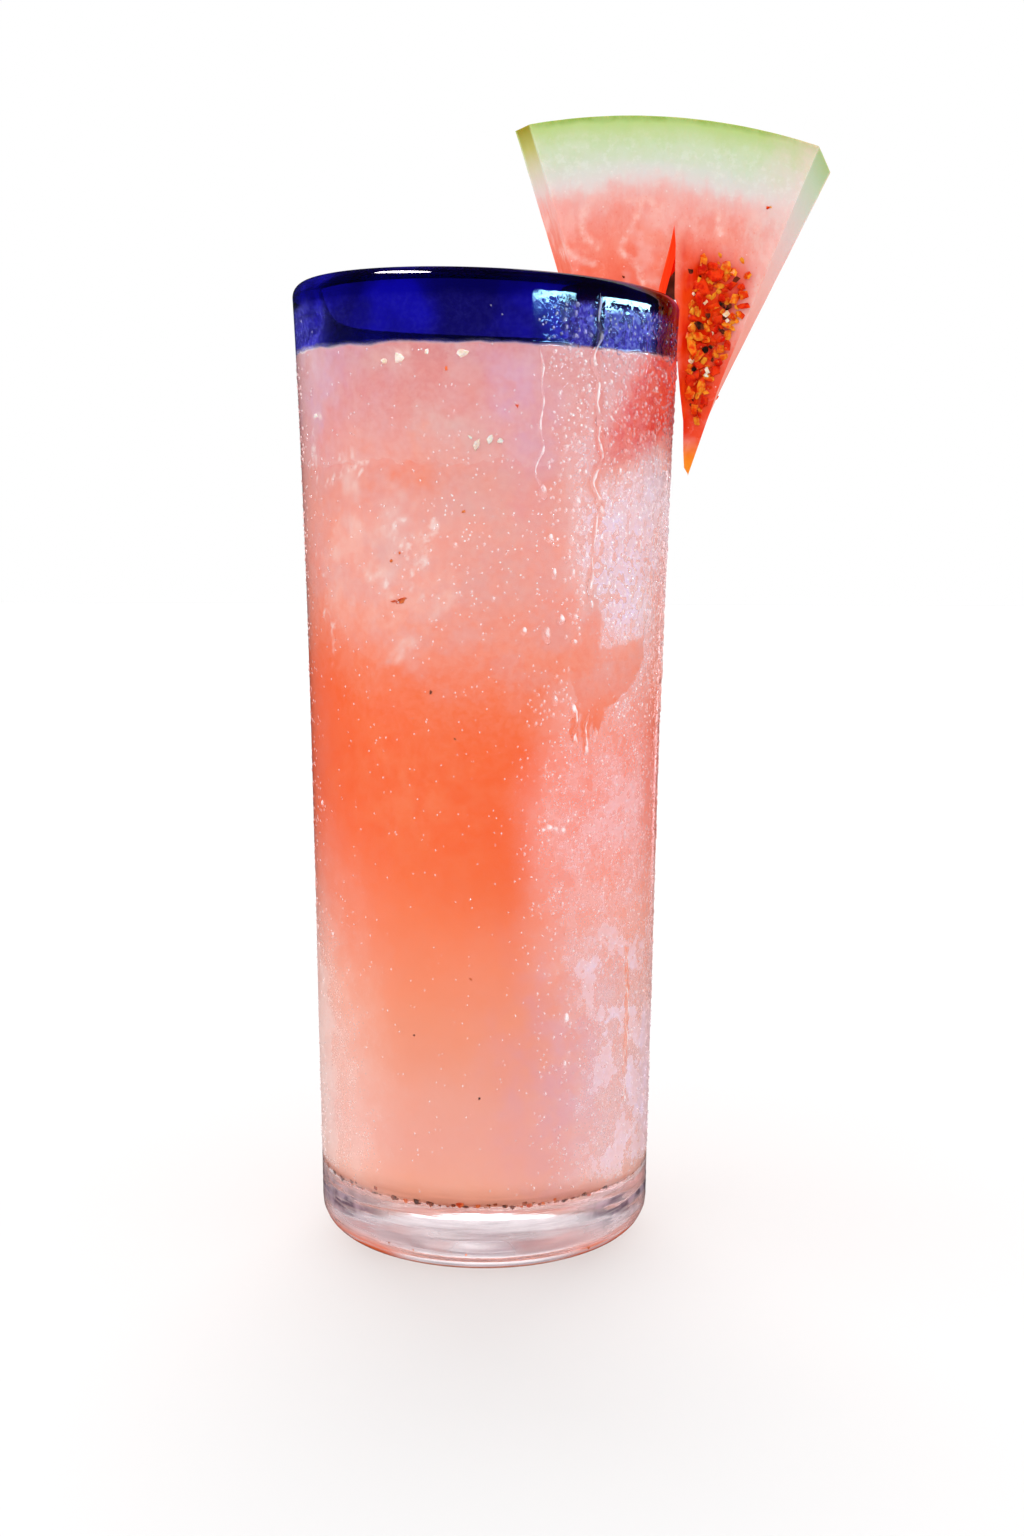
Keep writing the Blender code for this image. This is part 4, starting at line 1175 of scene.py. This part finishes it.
def chip(rng, size, thick, corners=None):
    # An uneven polygon with a raised, tilted top; its own plane is x, y
    corners = corners or int(rng.integers(4, 7))
    angles = math.tau * (np.arange(corners) + rng.uniform(-0.28, 0.28, corners)) / corners
    radius = size * rng.uniform(0.34, 0.6, corners)
    squeeze = rng.uniform(0.5, 1.0)
    x, y = radius * np.cos(angles), radius * np.sin(angles) * squeeze
    low = np.column_stack([x, y, np.full(corners, -0.3 * size * thick)])
    middle = np.column_stack([x, y, np.full(corners, 0.25 * size * thick)])
    top = np.column_stack([x * 0.72, y * 0.72, size * thick * rng.uniform(0.7, 1.25, corners)])
    peak = np.array([[0.0, 0.0, size * thick * rng.uniform(0.9, 1.3)]])
    faces = [tuple(range(corners))[::-1]]
    for i in range(corners):
        j = (i + 1) % corners
        faces.append((i, j, corners + j, corners + i))
        faces.append((corners + i, corners + j, 2 * corners + j, 2 * corners + i))
        faces.append((2 * corners + i, 2 * corners + j, 3 * corners))
    return np.concatenate([low, middle, top, peak]), faces


def grain(rng, size):
    # A salt crystal: a small knocked box
    verts = np.array([(x, y, z) for x in (-0.5, 0.5) for y in (-0.5, 0.5) for z in (-0.5, 0.5)])
    verts = verts * size * rng.uniform(0.7, 1.1, 3) + rng.uniform(-0.1, 0.1, (8, 3)) * size
    faces = [(0, 1, 3, 2), (4, 6, 7, 5), (0, 4, 5, 1), (2, 3, 7, 6), (0, 2, 6, 4), (1, 5, 7, 3)]
    return verts, faces


def random_turn(rng):
    q = rng.normal(size=4)
    w, x, y, z = q / np.linalg.norm(q)
    return np.array(((1 - 2 * (y * y + z * z), 2 * (x * y - w * z), 2 * (x * z + w * y)),
                     (2 * (x * y + w * z), 1 - 2 * (x * x + z * z), 2 * (y * z - w * x)),
                     (2 * (x * z - w * y), 2 * (y * z + w * x), 1 - 2 * (x * x + y * y))))


def facing(outward, spin, tilt_a, tilt_b):
    # Columns: the chip's x, y and z in the scene
    side = np.cross((0.0, 0.0, 1.0), outward)
    side /= np.linalg.norm(side)
    flat = np.column_stack([side, np.cross(outward, side), outward])
    c, s = math.cos(spin), math.sin(spin)
    turn = np.array(((c, -s, 0), (s, c, 0), (0, 0, 1)))
    ca, sa, cb, sb = math.cos(tilt_a), math.sin(tilt_a), math.cos(tilt_b), math.sin(tilt_b)
    lean = np.array(((1, 0, 0), (0, ca, -sa), (0, sa, ca))) @ np.array(((cb, 0, sb), (0, 1, 0), (-sb, 0, cb)))
    return flat @ lean @ turn


class Heap:
    # Gathers many small shapes into one mesh
    def __init__(self):
        self.verts = []
        self.faces = []
        self.count = 0

    def put(self, verts, faces, turn, place):
        self.verts.append(verts @ np.asarray(turn).T + np.asarray(place))
        self.faces += [tuple(i + self.count for i in face) for face in faces]
        self.count += len(verts)

    def piece(self, name, material, slot_name):
        mesh_piece(name, np.concatenate(self.verts), self.faces, material, sharp=30.0)


def chip_material(name, dark, light, roughness, size=1.6):
    g = Graph(name)
    body = g.mix(g.noise(size, 3.0, 0.6).span(0.36, 0.62), dark, light)
    # Painted highlights: small pale spots where the chips would shine
    body = g.mix(g.noise(1.1, 2.0).span(0.67, 0.72) * 0.3, body, (255, 176, 100))
    return g.finish(Base_Color=body, Roughness=g.noise(0.6).span(0.3, 0.7, roughness, roughness + 0.2),
                    IOR=1.45, Normal=g.bump(g.noise(0.4, 2.0), 0.08, 0.5), Specular_IOR_Level=0.06,
                    Coat_Weight=0.02, Coat_Roughness=0.10, Subsurface_Weight=0.45,
                    Subsurface_Radius=(1.0, 0.35, 0.15), Subsurface_Scale=0.002)


# Flakes that the photograph shows apart from the rest: x, z, size, kind
STRAY_FLAKES = ((51.1, 192.6, 1.1, "red"), (42.6, 184.2, 1.2, "orange"), (46.6, 183.4, 1.4, "orange"),
                (37.3, 181.2, 1.6, "dark"), (45.5, 180.0, 1.6, "dark"), (42.4, 182.8, 0.9, "orange"),
                (39.1, 171.8, 2.4, "dark"), (40.6, 173.4, 1.6, "dark"), (47.6, 180.6, 1.8, "orange"),
                (25.0, 180.3, 0.9, "dark"), (51.6, 192.9, 0.7, "orange"))
# Kinds of flake: share, piece, material, its two colours, roughness
FLAKE_KINDS = {
    "orange": (0.56, "flakes_orange", "chili_orange", (232, 50, 2), (255, 146, 36), 0.2),
    "red": (0.37, "flakes_red", "chili_red", (196, 18, 2), (240, 58, 12), 0.2),
    "dark": (0.06, "flakes_dark", "chili_dark", (30, 20, 16), (110, 46, 24), 0.3),
    "salt": (0.01, "salt_grains", "salt", (250, 196, 150), (255, 232, 206), 0.12),
}
# No more of these on one face of the wedge, and how much smaller they are
MOST_OF = {"salt": 9, "dark": 17}
SMALLER = {"salt": 0.28, "dark": 0.58}
# Wanted on each face; the tries can run out before they are all placed
FLAKES_IN_FRONT = 165
FLAKES_BEHIND = 110
MOST_TRIES = 30000


def flake_spot(rng):
    z = rng.triangular(154.0, 171.0, 183.5)
    left = 37.4 + 0.27 * max(0.0, 158.0 - z)
    right = right_cut(z) - 2.2
    right = min(min(right, 47.6) + rng.normal(0.0, 0.5), right)
    if z > 176.0:
        left += (z - 176.0) * 0.30
        right -= (z - 176.0) * 0.55
    return rng.uniform(left, max(right, left + 0.4)), z


def flake_spots(rng, spots, wanted):
    # Dart throwing: flakes overlap only a little
    kinds = list(FLAKE_KINDS)
    shares = [row[0] for row in FLAKE_KINDS.values()]
    for _ in range(MOST_TRIES):
        if len(spots) >= wanted:
            break
        x, z = flake_spot(rng)
        size = rng.triangular(1.2, 2.6, 4.6) * (0.70 if z < 158.0 else 1.0)
        kind = rng.choice(kinds, p=shares)
        if kind in MOST_OF and sum(spot[3] == kind for spot in spots) >= MOST_OF[kind]:
            continue
        size *= SMALLER.get(kind, 1.0)
        if all(math.hypot(x - s[0], z - s[1]) > 0.27 * (s[2] + size) for s in spots):
            spots.append((x, z, size, kind))
    return spots


def build_flakes():
    rng = np.random.default_rng(7)
    heaps = {kind: Heap() for kind in FLAKE_KINDS}
    for front in (True, False):
        outward = np.array((0.0, -1.0 if front else 1.0, 0.0))
        moved = 0.0 if front else SLIT_SLANT * 2 * HALF_THICKNESS
        for x, z, size, kind in flake_spots(rng, list(STRAY_FLAKES) if front else [],
                                            FLAKES_IN_FRONT if front else FLAKES_BEHIND):
            place = np.array((x + moved, face_y(x + moved, z, front) + outward[1] * -0.02, z))
            if kind == "salt":
                verts, faces = grain(rng, size)
                heaps[kind].put(verts, faces, random_turn(rng), place + outward * 0.25 * size)
            else:
                verts, faces = chip(rng, size, rng.uniform(0.05, 0.15))
                turn = facing(outward, rng.uniform(0, math.tau), rng.normal(0, 0.34), rng.normal(0, 0.34))
                heaps[kind].put(verts, faces, turn, place + outward * rng.uniform(0.0, 0.3) * size * 0.5)
    for kind, (_, name, *look) in FLAKE_KINDS.items():
        heaps[kind].piece(name, chip_material(*look), "melon")


# Spice that floats at the wall, and the line of it round the floor


# phi, z, size, kind
SPECKS = ((-64, 170.2, 1.3, "brown"), (-11, 161.6, 1.3, "orange"), (10, 155.4, 1.2, "orange"),
          (-6, 137.4, 0.9, "orange"), (-27, 130.3, 0.9, "orange"), (-30, 129.0, 0.8, "orange"),
          (-17, 106.1, 0.8, "brown"), (-9, 98.0, 0.5, "brown"), (-24, 44.0, 0.6, "brown"),
          (-4, 55.0, 0.6, "orange"), (-1, 33.0, 0.6, "brown"), (120, 150.0, 1.2, "orange"),
          (165, 133.0, 0.9, "orange"), (-140, 141.0, 1.0, "orange"), (-110, 126.0, 0.8, "brown"),
          (95, 140, 0.9, "orange"), (-165, 118.0, 0.9, "orange"), (-95, 100.0, 0.6, "brown"),
          (140, 92.0, 0.7, "brown"), (-125, 60.0, 0.7, "brown"), (-32.7, 4.6, 0.5, "brown"),
          (-23.4, 4.2, 0.45, "brown"), (-5.2, 4.3, 0.6, "orange"), (38.3, 3.0, 0.6, "brown"),
          (-41.0, 13.6, 1.1, "brown"), (118.0, 5.0, 0.5, "brown"), (-150.0, 4.0, 0.6, "orange"))
# Slivers of melon fibre: phi, z, length
SLIVERS = ((-28.0, 122.1, 3.6), (-27.0, 121.9, 2.2), (135.0, 128.0, 3.0))
# Larger specks round the floor, at the front: phi
FLOOR_SPECKS = (-58, -55, -49, -45, -37, -35, -30, -26, -24, -21, -19, -11, -8, -6, -1, 2, 4, 9, 12, 16, 18,
                23, 28, 33, 36, 40, 44, 46, 52, 60)
# Bits of ice under the lip, painted nearly white as highlights on ice corners: phi, z, size
ICE_BITS = ((-2, 148.6, 2.2), (2, 149.6, 1.6), (5, 149.4, 1.1), (-6, 164.0, 2.4), (-26, 163.6, 2.6),
            (-17, 164.3, 1.4), (-31, 163.0, 1.8), (-4, 150.0, 1.0))


def wall_frame(phi, rng, lean=0.25):
    turn = math.radians(phi)
    outward = np.array((math.sin(turn), -math.cos(turn), 0.0))
    return outward, facing(outward, rng.uniform(0, math.tau), rng.normal(0, lean), rng.normal(0, lean))


def stick(heap, shape, turn, outward, r, z):
    # Put a shape where the wall is r from the axis
    heap.put(*shape, turn, outward * r + np.array((0, 0, z)))


def build_specks():
    rng = np.random.default_rng(23)
    heaps = {"orange": Heap(), "brown": Heap()}
    for phi, z, size, kind in SPECKS:
        outward, turn = wall_frame(phi, rng)
        r = inner_radius(z) + (0.12 if z < DRINK_LEVEL else -0.25)
        if z < FLOOR_HEIGHT:
            r = outer_radius(z) - 0.1
        stick(heaps[kind], chip(rng, size, 0.22), turn, outward, r, z)
    for phi, z, length in SLIVERS:
        outward, _ = wall_frame(phi, rng)
        verts, faces = chip(rng, 1.0, 0.3, 6)
        turn = facing(outward, 0.22, 0.0, 0.0)
        stick(heaps["orange"], (verts * (length, 0.9, 0.8), faces), turn, outward, inner_radius(z) + 0.1, z)
    fine = list(rng.uniform(-180, 180, 330))
    coarse = list(FLOOR_SPECKS) + list(rng.uniform(66, 294, 46))
    for number, phi in enumerate(coarse + fine):
        big = number < len(coarse)
        slope = rng.uniform(6, 42) if big else abs(rng.normal(0, 13)) + 2.0
        down = math.radians(slope - 90.0)
        reach = FLOOR_ROUNDING + 0.12
        size = rng.uniform(0.8, 1.5) if big else rng.uniform(0.3, 0.75)
        outward, turn = wall_frame(phi + rng.uniform(-1, 1), rng, 0.6)
        shape = chip(rng, size, 0.45)
        kind = "brown" if rng.random() < 0.72 else "orange"
        r, z = CORNER_R + reach * math.cos(down), CORNER_Z + reach * math.sin(down)
        stick(heaps[kind], shape, turn, outward, r, z)
    for kind, dark, light, roughness in (("orange", (214, 70, 24), (250, 120, 60), 0.35),
                                         ("brown", (70, 30, 16), (168, 84, 52), 0.4)):
        name = "spice_" + kind
        heaps[kind].piece(name, chip_material(name, dark, light, roughness), "drink")


def build_ice_chips_painted_glint():
    # Small chips of ice that cling to the inside under the lip, painted nearly white as highlights where ice
    # corners catch the light
    rng = np.random.default_rng(29)
    heap = Heap()
    hidden = [(phi, rng.uniform(153, 164), rng.uniform(1.0, 2.2)) for phi in rng.uniform(60, 300, 16)]
    for phi, z, size in list(ICE_BITS) + hidden:
        outward, turn = wall_frame(phi, rng)
        r = inner_radius(z) + (0.1 if z < DRINK_LEVEL else -0.35)
        stick(heap, chip(rng, size, 0.3, 6), turn, outward, r, z)
    heap.piece("ice_chips_painted_glint", chip_material("ice_chips_painted_glint", (238, 214, 200), (250, 244, 236), 0.1, 2.0), "ice")


# Condensation: drops and rivulets


def water_material():
    g = Graph("condensation")
    clear = g.mix(g.noise(2.0), (0.97, 0.97, 0.98, 1.0), (1.0, 0.985, 0.99, 1.0))
    # Painted highlights: where the glint is high the water turns white, violet blue on the cobalt band, in
    # place of the light it would reflect
    painted_glint = g["painted_glint"] * g.noise(1.6, 2.0).span(0.36, 0.52, 0.35, 1.0)
    on_band = g.add("ShaderNodeSeparateXYZ", 2, Vector=g.place).span(0.1645, 0.1665)
    bright = g.mix(on_band, (1.0, 0.94, 0.97, 1.0), (0.20, 0.18, 0.80, 1.0))
    return g.finish(True, Base_Color=g.mix(painted_glint, clear, bright), IOR=1.33,
                    Roughness=g.noise(0.5).span(0.2, 0.8, 0.02, 0.07),
                    Transmission_Weight=(1.0 - painted_glint * 0.9).held())


def cap_template(segments, rings):
    # A unit drop: u across, v up, h outward; a ring below h = 0 sinks into the glass
    verts = [(0.0, 0.0, 1.0)]
    for k in range(1, rings + 1):
        bend = math.radians(90.0 * k / rings)
        for i in range(segments):
            turn = math.tau * (i + 0.5 * (k % 2)) / segments
            verts.append((math.sin(bend) * math.cos(turn), math.sin(bend) * math.sin(turn), math.cos(bend)))
    last = 1 + (rings - 1) * segments
    sunk = len(verts)
    verts += [(u * 0.97, v * 0.97, -1.0) for u, v, _ in verts[last:]] + [(0.0, 0.0, -1.0)]
    centre = len(verts) - 1
    sides = [(i, (i + 1) % segments) for i in range(segments)]
    faces = [(0, 1 + i, 1 + j) for i, j in sides]
    for k in range(rings - 1):
        a, b = 1 + k * segments, 1 + (k + 1) * segments
        for i, j in sides:
            if k % 2 == 0:
                faces += [(a + i, b + i, a + j), (a + j, b + i, b + j)]
            else:
                faces += [(a + i, b + i, b + j), (a + i, b + j, a + j)]
    for i, j in sides:
        faces += [(last + i, sunk + i, sunk + j), (last + i, sunk + j, last + j)]
    faces += [(centre, sunk + j, sunk + i) for i, j in sides]
    return np.array(verts), np.array(faces)


def drop_mesh(name, drops, segments, rings, material, rng):
    # drops: rows of phi, z, radius, stretch
    template, faces = cap_template(segments, rings)
    across, up, out = template.T
    phi, z, size, stretch = np.asarray(drops, float).T[:, :, None]
    count = len(drops)
    turn = np.arctan2(up, across)
    a1, a2 = rng.uniform(0, math.tau, (2, count, 1))
    wobble = 1.0 + rng.uniform(0.04, 0.17, (count, 1)) * np.sin(2 * turn + a1)
    wobble = wobble + rng.uniform(0.0, 0.11, (count, 1)) * np.sin(3 * turn + a2)
    heavy = 1.0 - 0.16 * up * (stretch - 1.0)
    spread = across * wobble * heavy * size / DROP_RADIUS
    height = z + up * wobble * (size * stretch)
    r = outer_radius(height) + np.where(out >= 0, out * (size * rng.uniform(0.34, 0.52, (count, 1))), -SUNK)
    angle = np.radians(phi) + spread
    verts = slanted(np.stack([r * np.sin(angle), -r * np.cos(angle), height], 2).reshape(-1, 3))
    # Painted highlight: the light a drop would catch, up and to the right of its middle
    painted_glint = smooth(0.80, 0.20, np.hypot(across - 0.30, up - 0.38)) * (out > 0.0)
    painted_glint = painted_glint * rng.uniform(0.5, 1.0, (count, 1))
    all_faces = (faces[None] + (np.arange(count) * len(template))[:, None, None]).reshape(-1, 3)
    mesh_piece(name, verts, all_faces.tolist(), material, {"painted_glint": painted_glint.ravel()}, 62.0)


def bead_density(phi, z):
    """How thickly drops stand over the outside, from 0 to 1."""
    turned = np.where(phi < -100.0, phi + 360.0, phi)
    right = smooth(-6.0, 10.0, turned - mist_edge(z)) * (1.0 - smooth(215, 240, turned))
    thick = right * smooth(93.0, 104.0, z)
    left = smooth(-55.0, -75.0, phi)
    centre = smooth(-24.0, -8.0, phi) * smooth(34.0, 20.0, phi)
    dense = np.maximum(thick * (0.55 + 0.45 * bump_at(z, 128.0, 24.0)), 0.30 * right)
    sparse = np.maximum(0.28 * left, 0.05 + (0.06 + 0.12 * centre) * bump_at(z, 130, 20))
    return np.maximum(dense, sparse) * (1.0 - 0.85 * (1.0 - right) * smooth(162.0, 166.0, z))


def scatter_drops(rng, wanted):
    # Dart throwing: drops keep off each other and off the dry tracks
    cell = 1.6
    grid = {}
    drops = []
    batch = 26000
    phi = rng.uniform(-180, 180, batch)
    z = rng.uniform(15.0, 173.0, batch)
    dry = dry_distance(phi, z)
    dense = bead_density(phi, z)
    luck = rng.random(batch)
    sizes = np.minimum(0.19 + 0.26 * dense * rng.lognormal(0.0, 0.42, batch), 0.85)
    for i in np.flatnonzero((luck <= dense * 1.15) & (dry >= sizes + 0.15)):
        s, h, size = math.radians(phi[i]) * WALL_RADIUS, z[i], sizes[i]
        key = (int(s // cell), int(h // cell))
        near = [d for a in (-1, 0, 1) for b in (-1, 0, 1) for d in grid.get((key[0] + a, key[1] + b), ())]
        if any(math.hypot(s - d[0], h - d[1]) < (size + d[2]) * 0.93 for d in near):
            continue
        grid.setdefault(key, []).append((s, h, size))
        drops.append((phi[i], z[i], size, 1.0 + max(0.0, rng.normal(0.12, 0.16))))
        if len(drops) >= wanted:
            break
    return drops


# phi, z, radius, stretch
BIG_DROPS = (
    (20, 82.3, 1.1, 0.8), (22.5, 81.9, 0.9, 0.8), (25, 81.6, 1.0, 0.7), (18.4, 81.9, 0.7, 0.8),
    (26.8, 83.2, 0.5, 1.2), (27, 47.2, 0.95, 1.5), (27, 38.9, 0.65, 1.1), (22, 104.9, 0.7, 1.5),
    (28, 103.0, 0.8, 1.7), (19, 116.3, 0.9, 1.6), (41, 72.0, 0.6, 1.3), (33, 124.6, 0.85, 1.7),
    (17.2, 140.9, 0.9, 1.4), (32.6, 95.6, 0.8, 1.7), (28.8, 97.6, 0.8, 1.6), (36, 137.8, 0.85, 1.5),
    (36.4, 98.6, 0.7, 1.9), (54.2, 29.6, 0.8, 2.0), (-59, 60.0, 0.5, 1.2), (-65, 84.0, 0.5, 1.3),
    (104.5, 95.4, 1.1, 1.6), (152, 117.0, 1.2, 1.5), (-147, 87.4, 1.2, 1.6), (-103.5, 98.6, 0.9, 1.5),
    (19.5, 133.0, 0.7, 1.3), (21.0, 127.0, 0.6, 1.6), (23.5, 119.0, 0.8, 1.3), (-8.0, 131.5, 0.5, 1.1),
    (12.0, 117.0, 0.6, 1.5), (3.0, 122.5, 0.45, 1.2),
)


def build_rivulets(water, rng):
    # Raised water along the tracks, thinner than the dry shape round it
    verts, faces, painted_glints = [], [], []
    ring = 12
    kernel = np.array((1, 2, 3, 2, 1)) / 9.0
    for track in TRACKS:
        points = np.array(track)
        gaps = np.hypot(np.diff(points[:, 0]) * DEGREE_LENGTH, np.diff(points[:, 1]))
        length = np.concatenate([[0], np.cumsum(gaps)])
        steps = int(length[-1] / 0.55) + 2
        along = np.linspace(0, length[-1], steps)
        phi, z, half = [np.interp(along, length, column) for column in points.T]
        for _ in range(2):
            phi = np.convolve(np.pad(phi, 2, "edge"), kernel, "valid")
        wave = 1.0 + 0.35 * np.sin(along * 1.3 + rng.uniform(0, 6))
        wave += 0.2 * np.sin(along * 3.1 + rng.uniform(0, 6))
        ends = smooth(0, 1.4, along) * smooth(along[-1] + 0.2, along[-1] - 0.8, along)
        half = np.clip(half * 0.52 * wave, 0.14, 0.8) * np.maximum(ends, 0.12)
        phi = phi + 0.5 * np.sin(along * 0.9 + rng.uniform(0, 6))
        start = len(verts)
        for k in range(steps):
            for i in range(ring):
                turn = math.tau * i / ring
                height = half[k] * 0.70 * max(math.sin(turn), 0.0) - SUNK * (math.sin(turn) < -0.01)
                r = outer_radius(z[k]) + height
                angle = math.radians(phi[k]) + half[k] * math.cos(turn) / DROP_RADIUS
                verts.append((r * math.sin(angle), -r * math.cos(angle), z[k]))
                # Painted highlight along one side of the rivulet, broken in places
                painted_glints.append(0.72 if i in (2, 3) and math.sin(along[k] * 0.8 + start) > -0.55 else 0.0)
        last = start + (steps - 1) * ring
        for a in range(start, last, ring):
            faces += join_rings(a, a + ring, ring)
        faces.append(tuple(range(start, start + ring))[::-1])
        faces.append(tuple(range(last, last + ring)))
    mesh_piece("rivulets", slanted(verts), faces, water, {"painted_glint": painted_glints}, 62.0)


# Few enough that the smallest ones stay under 200,000 triangles
MOST_DROPS = 7500


def build_water():
    rng = np.random.default_rng(37)
    water = water_material()
    drops = scatter_drops(rng, MOST_DROPS)
    drop_mesh("mist_drops", [drop for drop in drops if drop[2] < 0.36], 6, 2, water, rng)
    drop_mesh("dew_drops", [drop for drop in drops if drop[2] >= 0.36], 10, 3, water, rng)
    drop_mesh("large_drops", BIG_DROPS, 20, 6, water, rng)
    build_rivulets(water, rng)


# Stage, light and camera


def stage_material():
    g = Graph("pale_floor")
    grey = g.mix(g.noise(300.0, 2.0), (0.488, 0.492, 0.494, 1.0), (0.506, 0.510, 0.512, 1.0))
    # Brighter right under the glass, as if light came up through it
    away = g.add("ShaderNodeVectorMath", "Value", {"operation": "LENGTH"}, Vector=g.place)
    return g.finish(Base_Color=grey, Roughness=0.9, Specular_IOR_Level=0.0,
                    Emission_Color=(1.0, 1.0, 1.0, 1.0),
                    Emission_Strength=away.span(0.029, 0.020, 0.225, 0.44))


def build_stage():
    half = 4.0
    mesh = bpy.data.meshes.new("floor")
    corners = [(-half, -half, 0), (half, -half, 0), (half, half, 0), (-half, half, 0)]
    mesh.from_pydata(corners, [], [(0, 1, 2, 3)])
    mesh.materials.append(stage_material())
    floor = add_object("floor", mesh)
    floor.visible_glossy = False


def build_world():
    world = bpy.data.worlds.new("studio")
    bpy.context.scene.world = world
    world.use_nodes = True
    tree = world.node_tree
    tree.nodes.clear()
    rays = tree.nodes.new("ShaderNodeLightPath")
    inside = tree.nodes.new("ShaderNodeMath")
    inside.operation = "GREATER_THAN"
    inside.inputs[1].default_value = 0.5
    tree.links.new(rays.outputs["Transparent Depth"], inside.inputs[0])
    # A bright room that shows as plain white, and as a dim one in what shines
    white = (1.0, 1.0, 1.0, 1.0)
    shader = None
    for strength, colour, ray in ((WORLD_LIGHT, white, None),
                                  (INSIDE_GLASS, white, inside.outputs[0]),
                                  (0.02, (0.75, 0.80, 1.0, 1.0), rays.outputs["Is Glossy Ray"]),
                                  (THROUGH_GLASS, white, rays.outputs["Is Transmission Ray"]),
                                  (1.0, white, rays.outputs["Is Camera Ray"])):
        light = tree.nodes.new("ShaderNodeBackground")
        light.inputs[0].default_value = colour
        light.inputs[1].default_value = strength
        if shader is not None:
            mixed = tree.nodes.new("ShaderNodeMixShader")
            for socket, source in zip(mixed.inputs, (ray, shader.outputs[0], light.outputs[0])):
                tree.links.new(source, socket)
            light = mixed
        shader = light
    tree.links.new(shader.outputs[0], tree.nodes.new("ShaderNodeOutputWorld").inputs[0])


def build_light():
    build_world()
    for number, (azimuth, height, strength, spread) in enumerate(SOFT_SUNS):
        light = bpy.data.lights.new("soft_%d" % number, "SUN")
        light.energy = strength
        light.angle = math.radians(spread)
        item = add_object(light.name, light)
        turn, rise = math.radians(azimuth), math.radians(height)
        way = Vector((math.sin(turn) * math.cos(rise), -math.cos(turn) * math.cos(rise), math.sin(rise)))
        item.location = way
        item.rotation_euler = (-way).to_track_quat("-Z", "Y").to_euler()
        item.visible_glossy = False
    for name, azimuth, far, height, size, tilt, colour, radiance in SHINE_LIGHTS:
        light = bpy.data.lights.new(name, "AREA")
        light.shape = "ELLIPSE"
        light.size, light.size_y = size
        light.color = colour
        light.energy = radiance * math.pi * size[0] * size[1] * math.pi / 4.0
        item = add_object(name, light)
        turn = math.radians(azimuth)
        place = Vector((far * math.sin(turn), -far * math.cos(turn), height))
        target = Vector((0.0, 0.0, min(height, 0.175)))
        aim = (target - place).to_track_quat("-Z", "Y").to_matrix()
        item.location = place
        item.rotation_euler = (aim @ Matrix.Rotation(math.radians(tilt), 3, "Z")).to_euler()
        item.visible_camera = False
        item.visible_transmission = False
        item.visible_diffuse = False


def build_camera():
    data = bpy.data.cameras.new("camera")
    data.lens = CAMERA_LENS
    data.sensor_width = 36.0
    data.clip_start = 0.01
    camera = add_object("camera", data)
    camera.matrix_world = (Matrix.Translation(CAMERA_PLACE)
                           @ Matrix.Rotation(math.radians(90.0 - CAMERA_DOWN), 4, "X")
                           @ Matrix.Rotation(math.radians(CAMERA_ROLL), 4, "Z"))
    bpy.context.scene.camera = camera


build_camera()
build_light()
build_stage()
build_glass()
build_drink()
build_ice()
build_wedge()
build_flakes()
build_specks()
build_ice_chips_painted_glint()
build_water()
bpy.context.scene.view_settings.view_transform = "Standard"
bpy.context.view_layer.update()
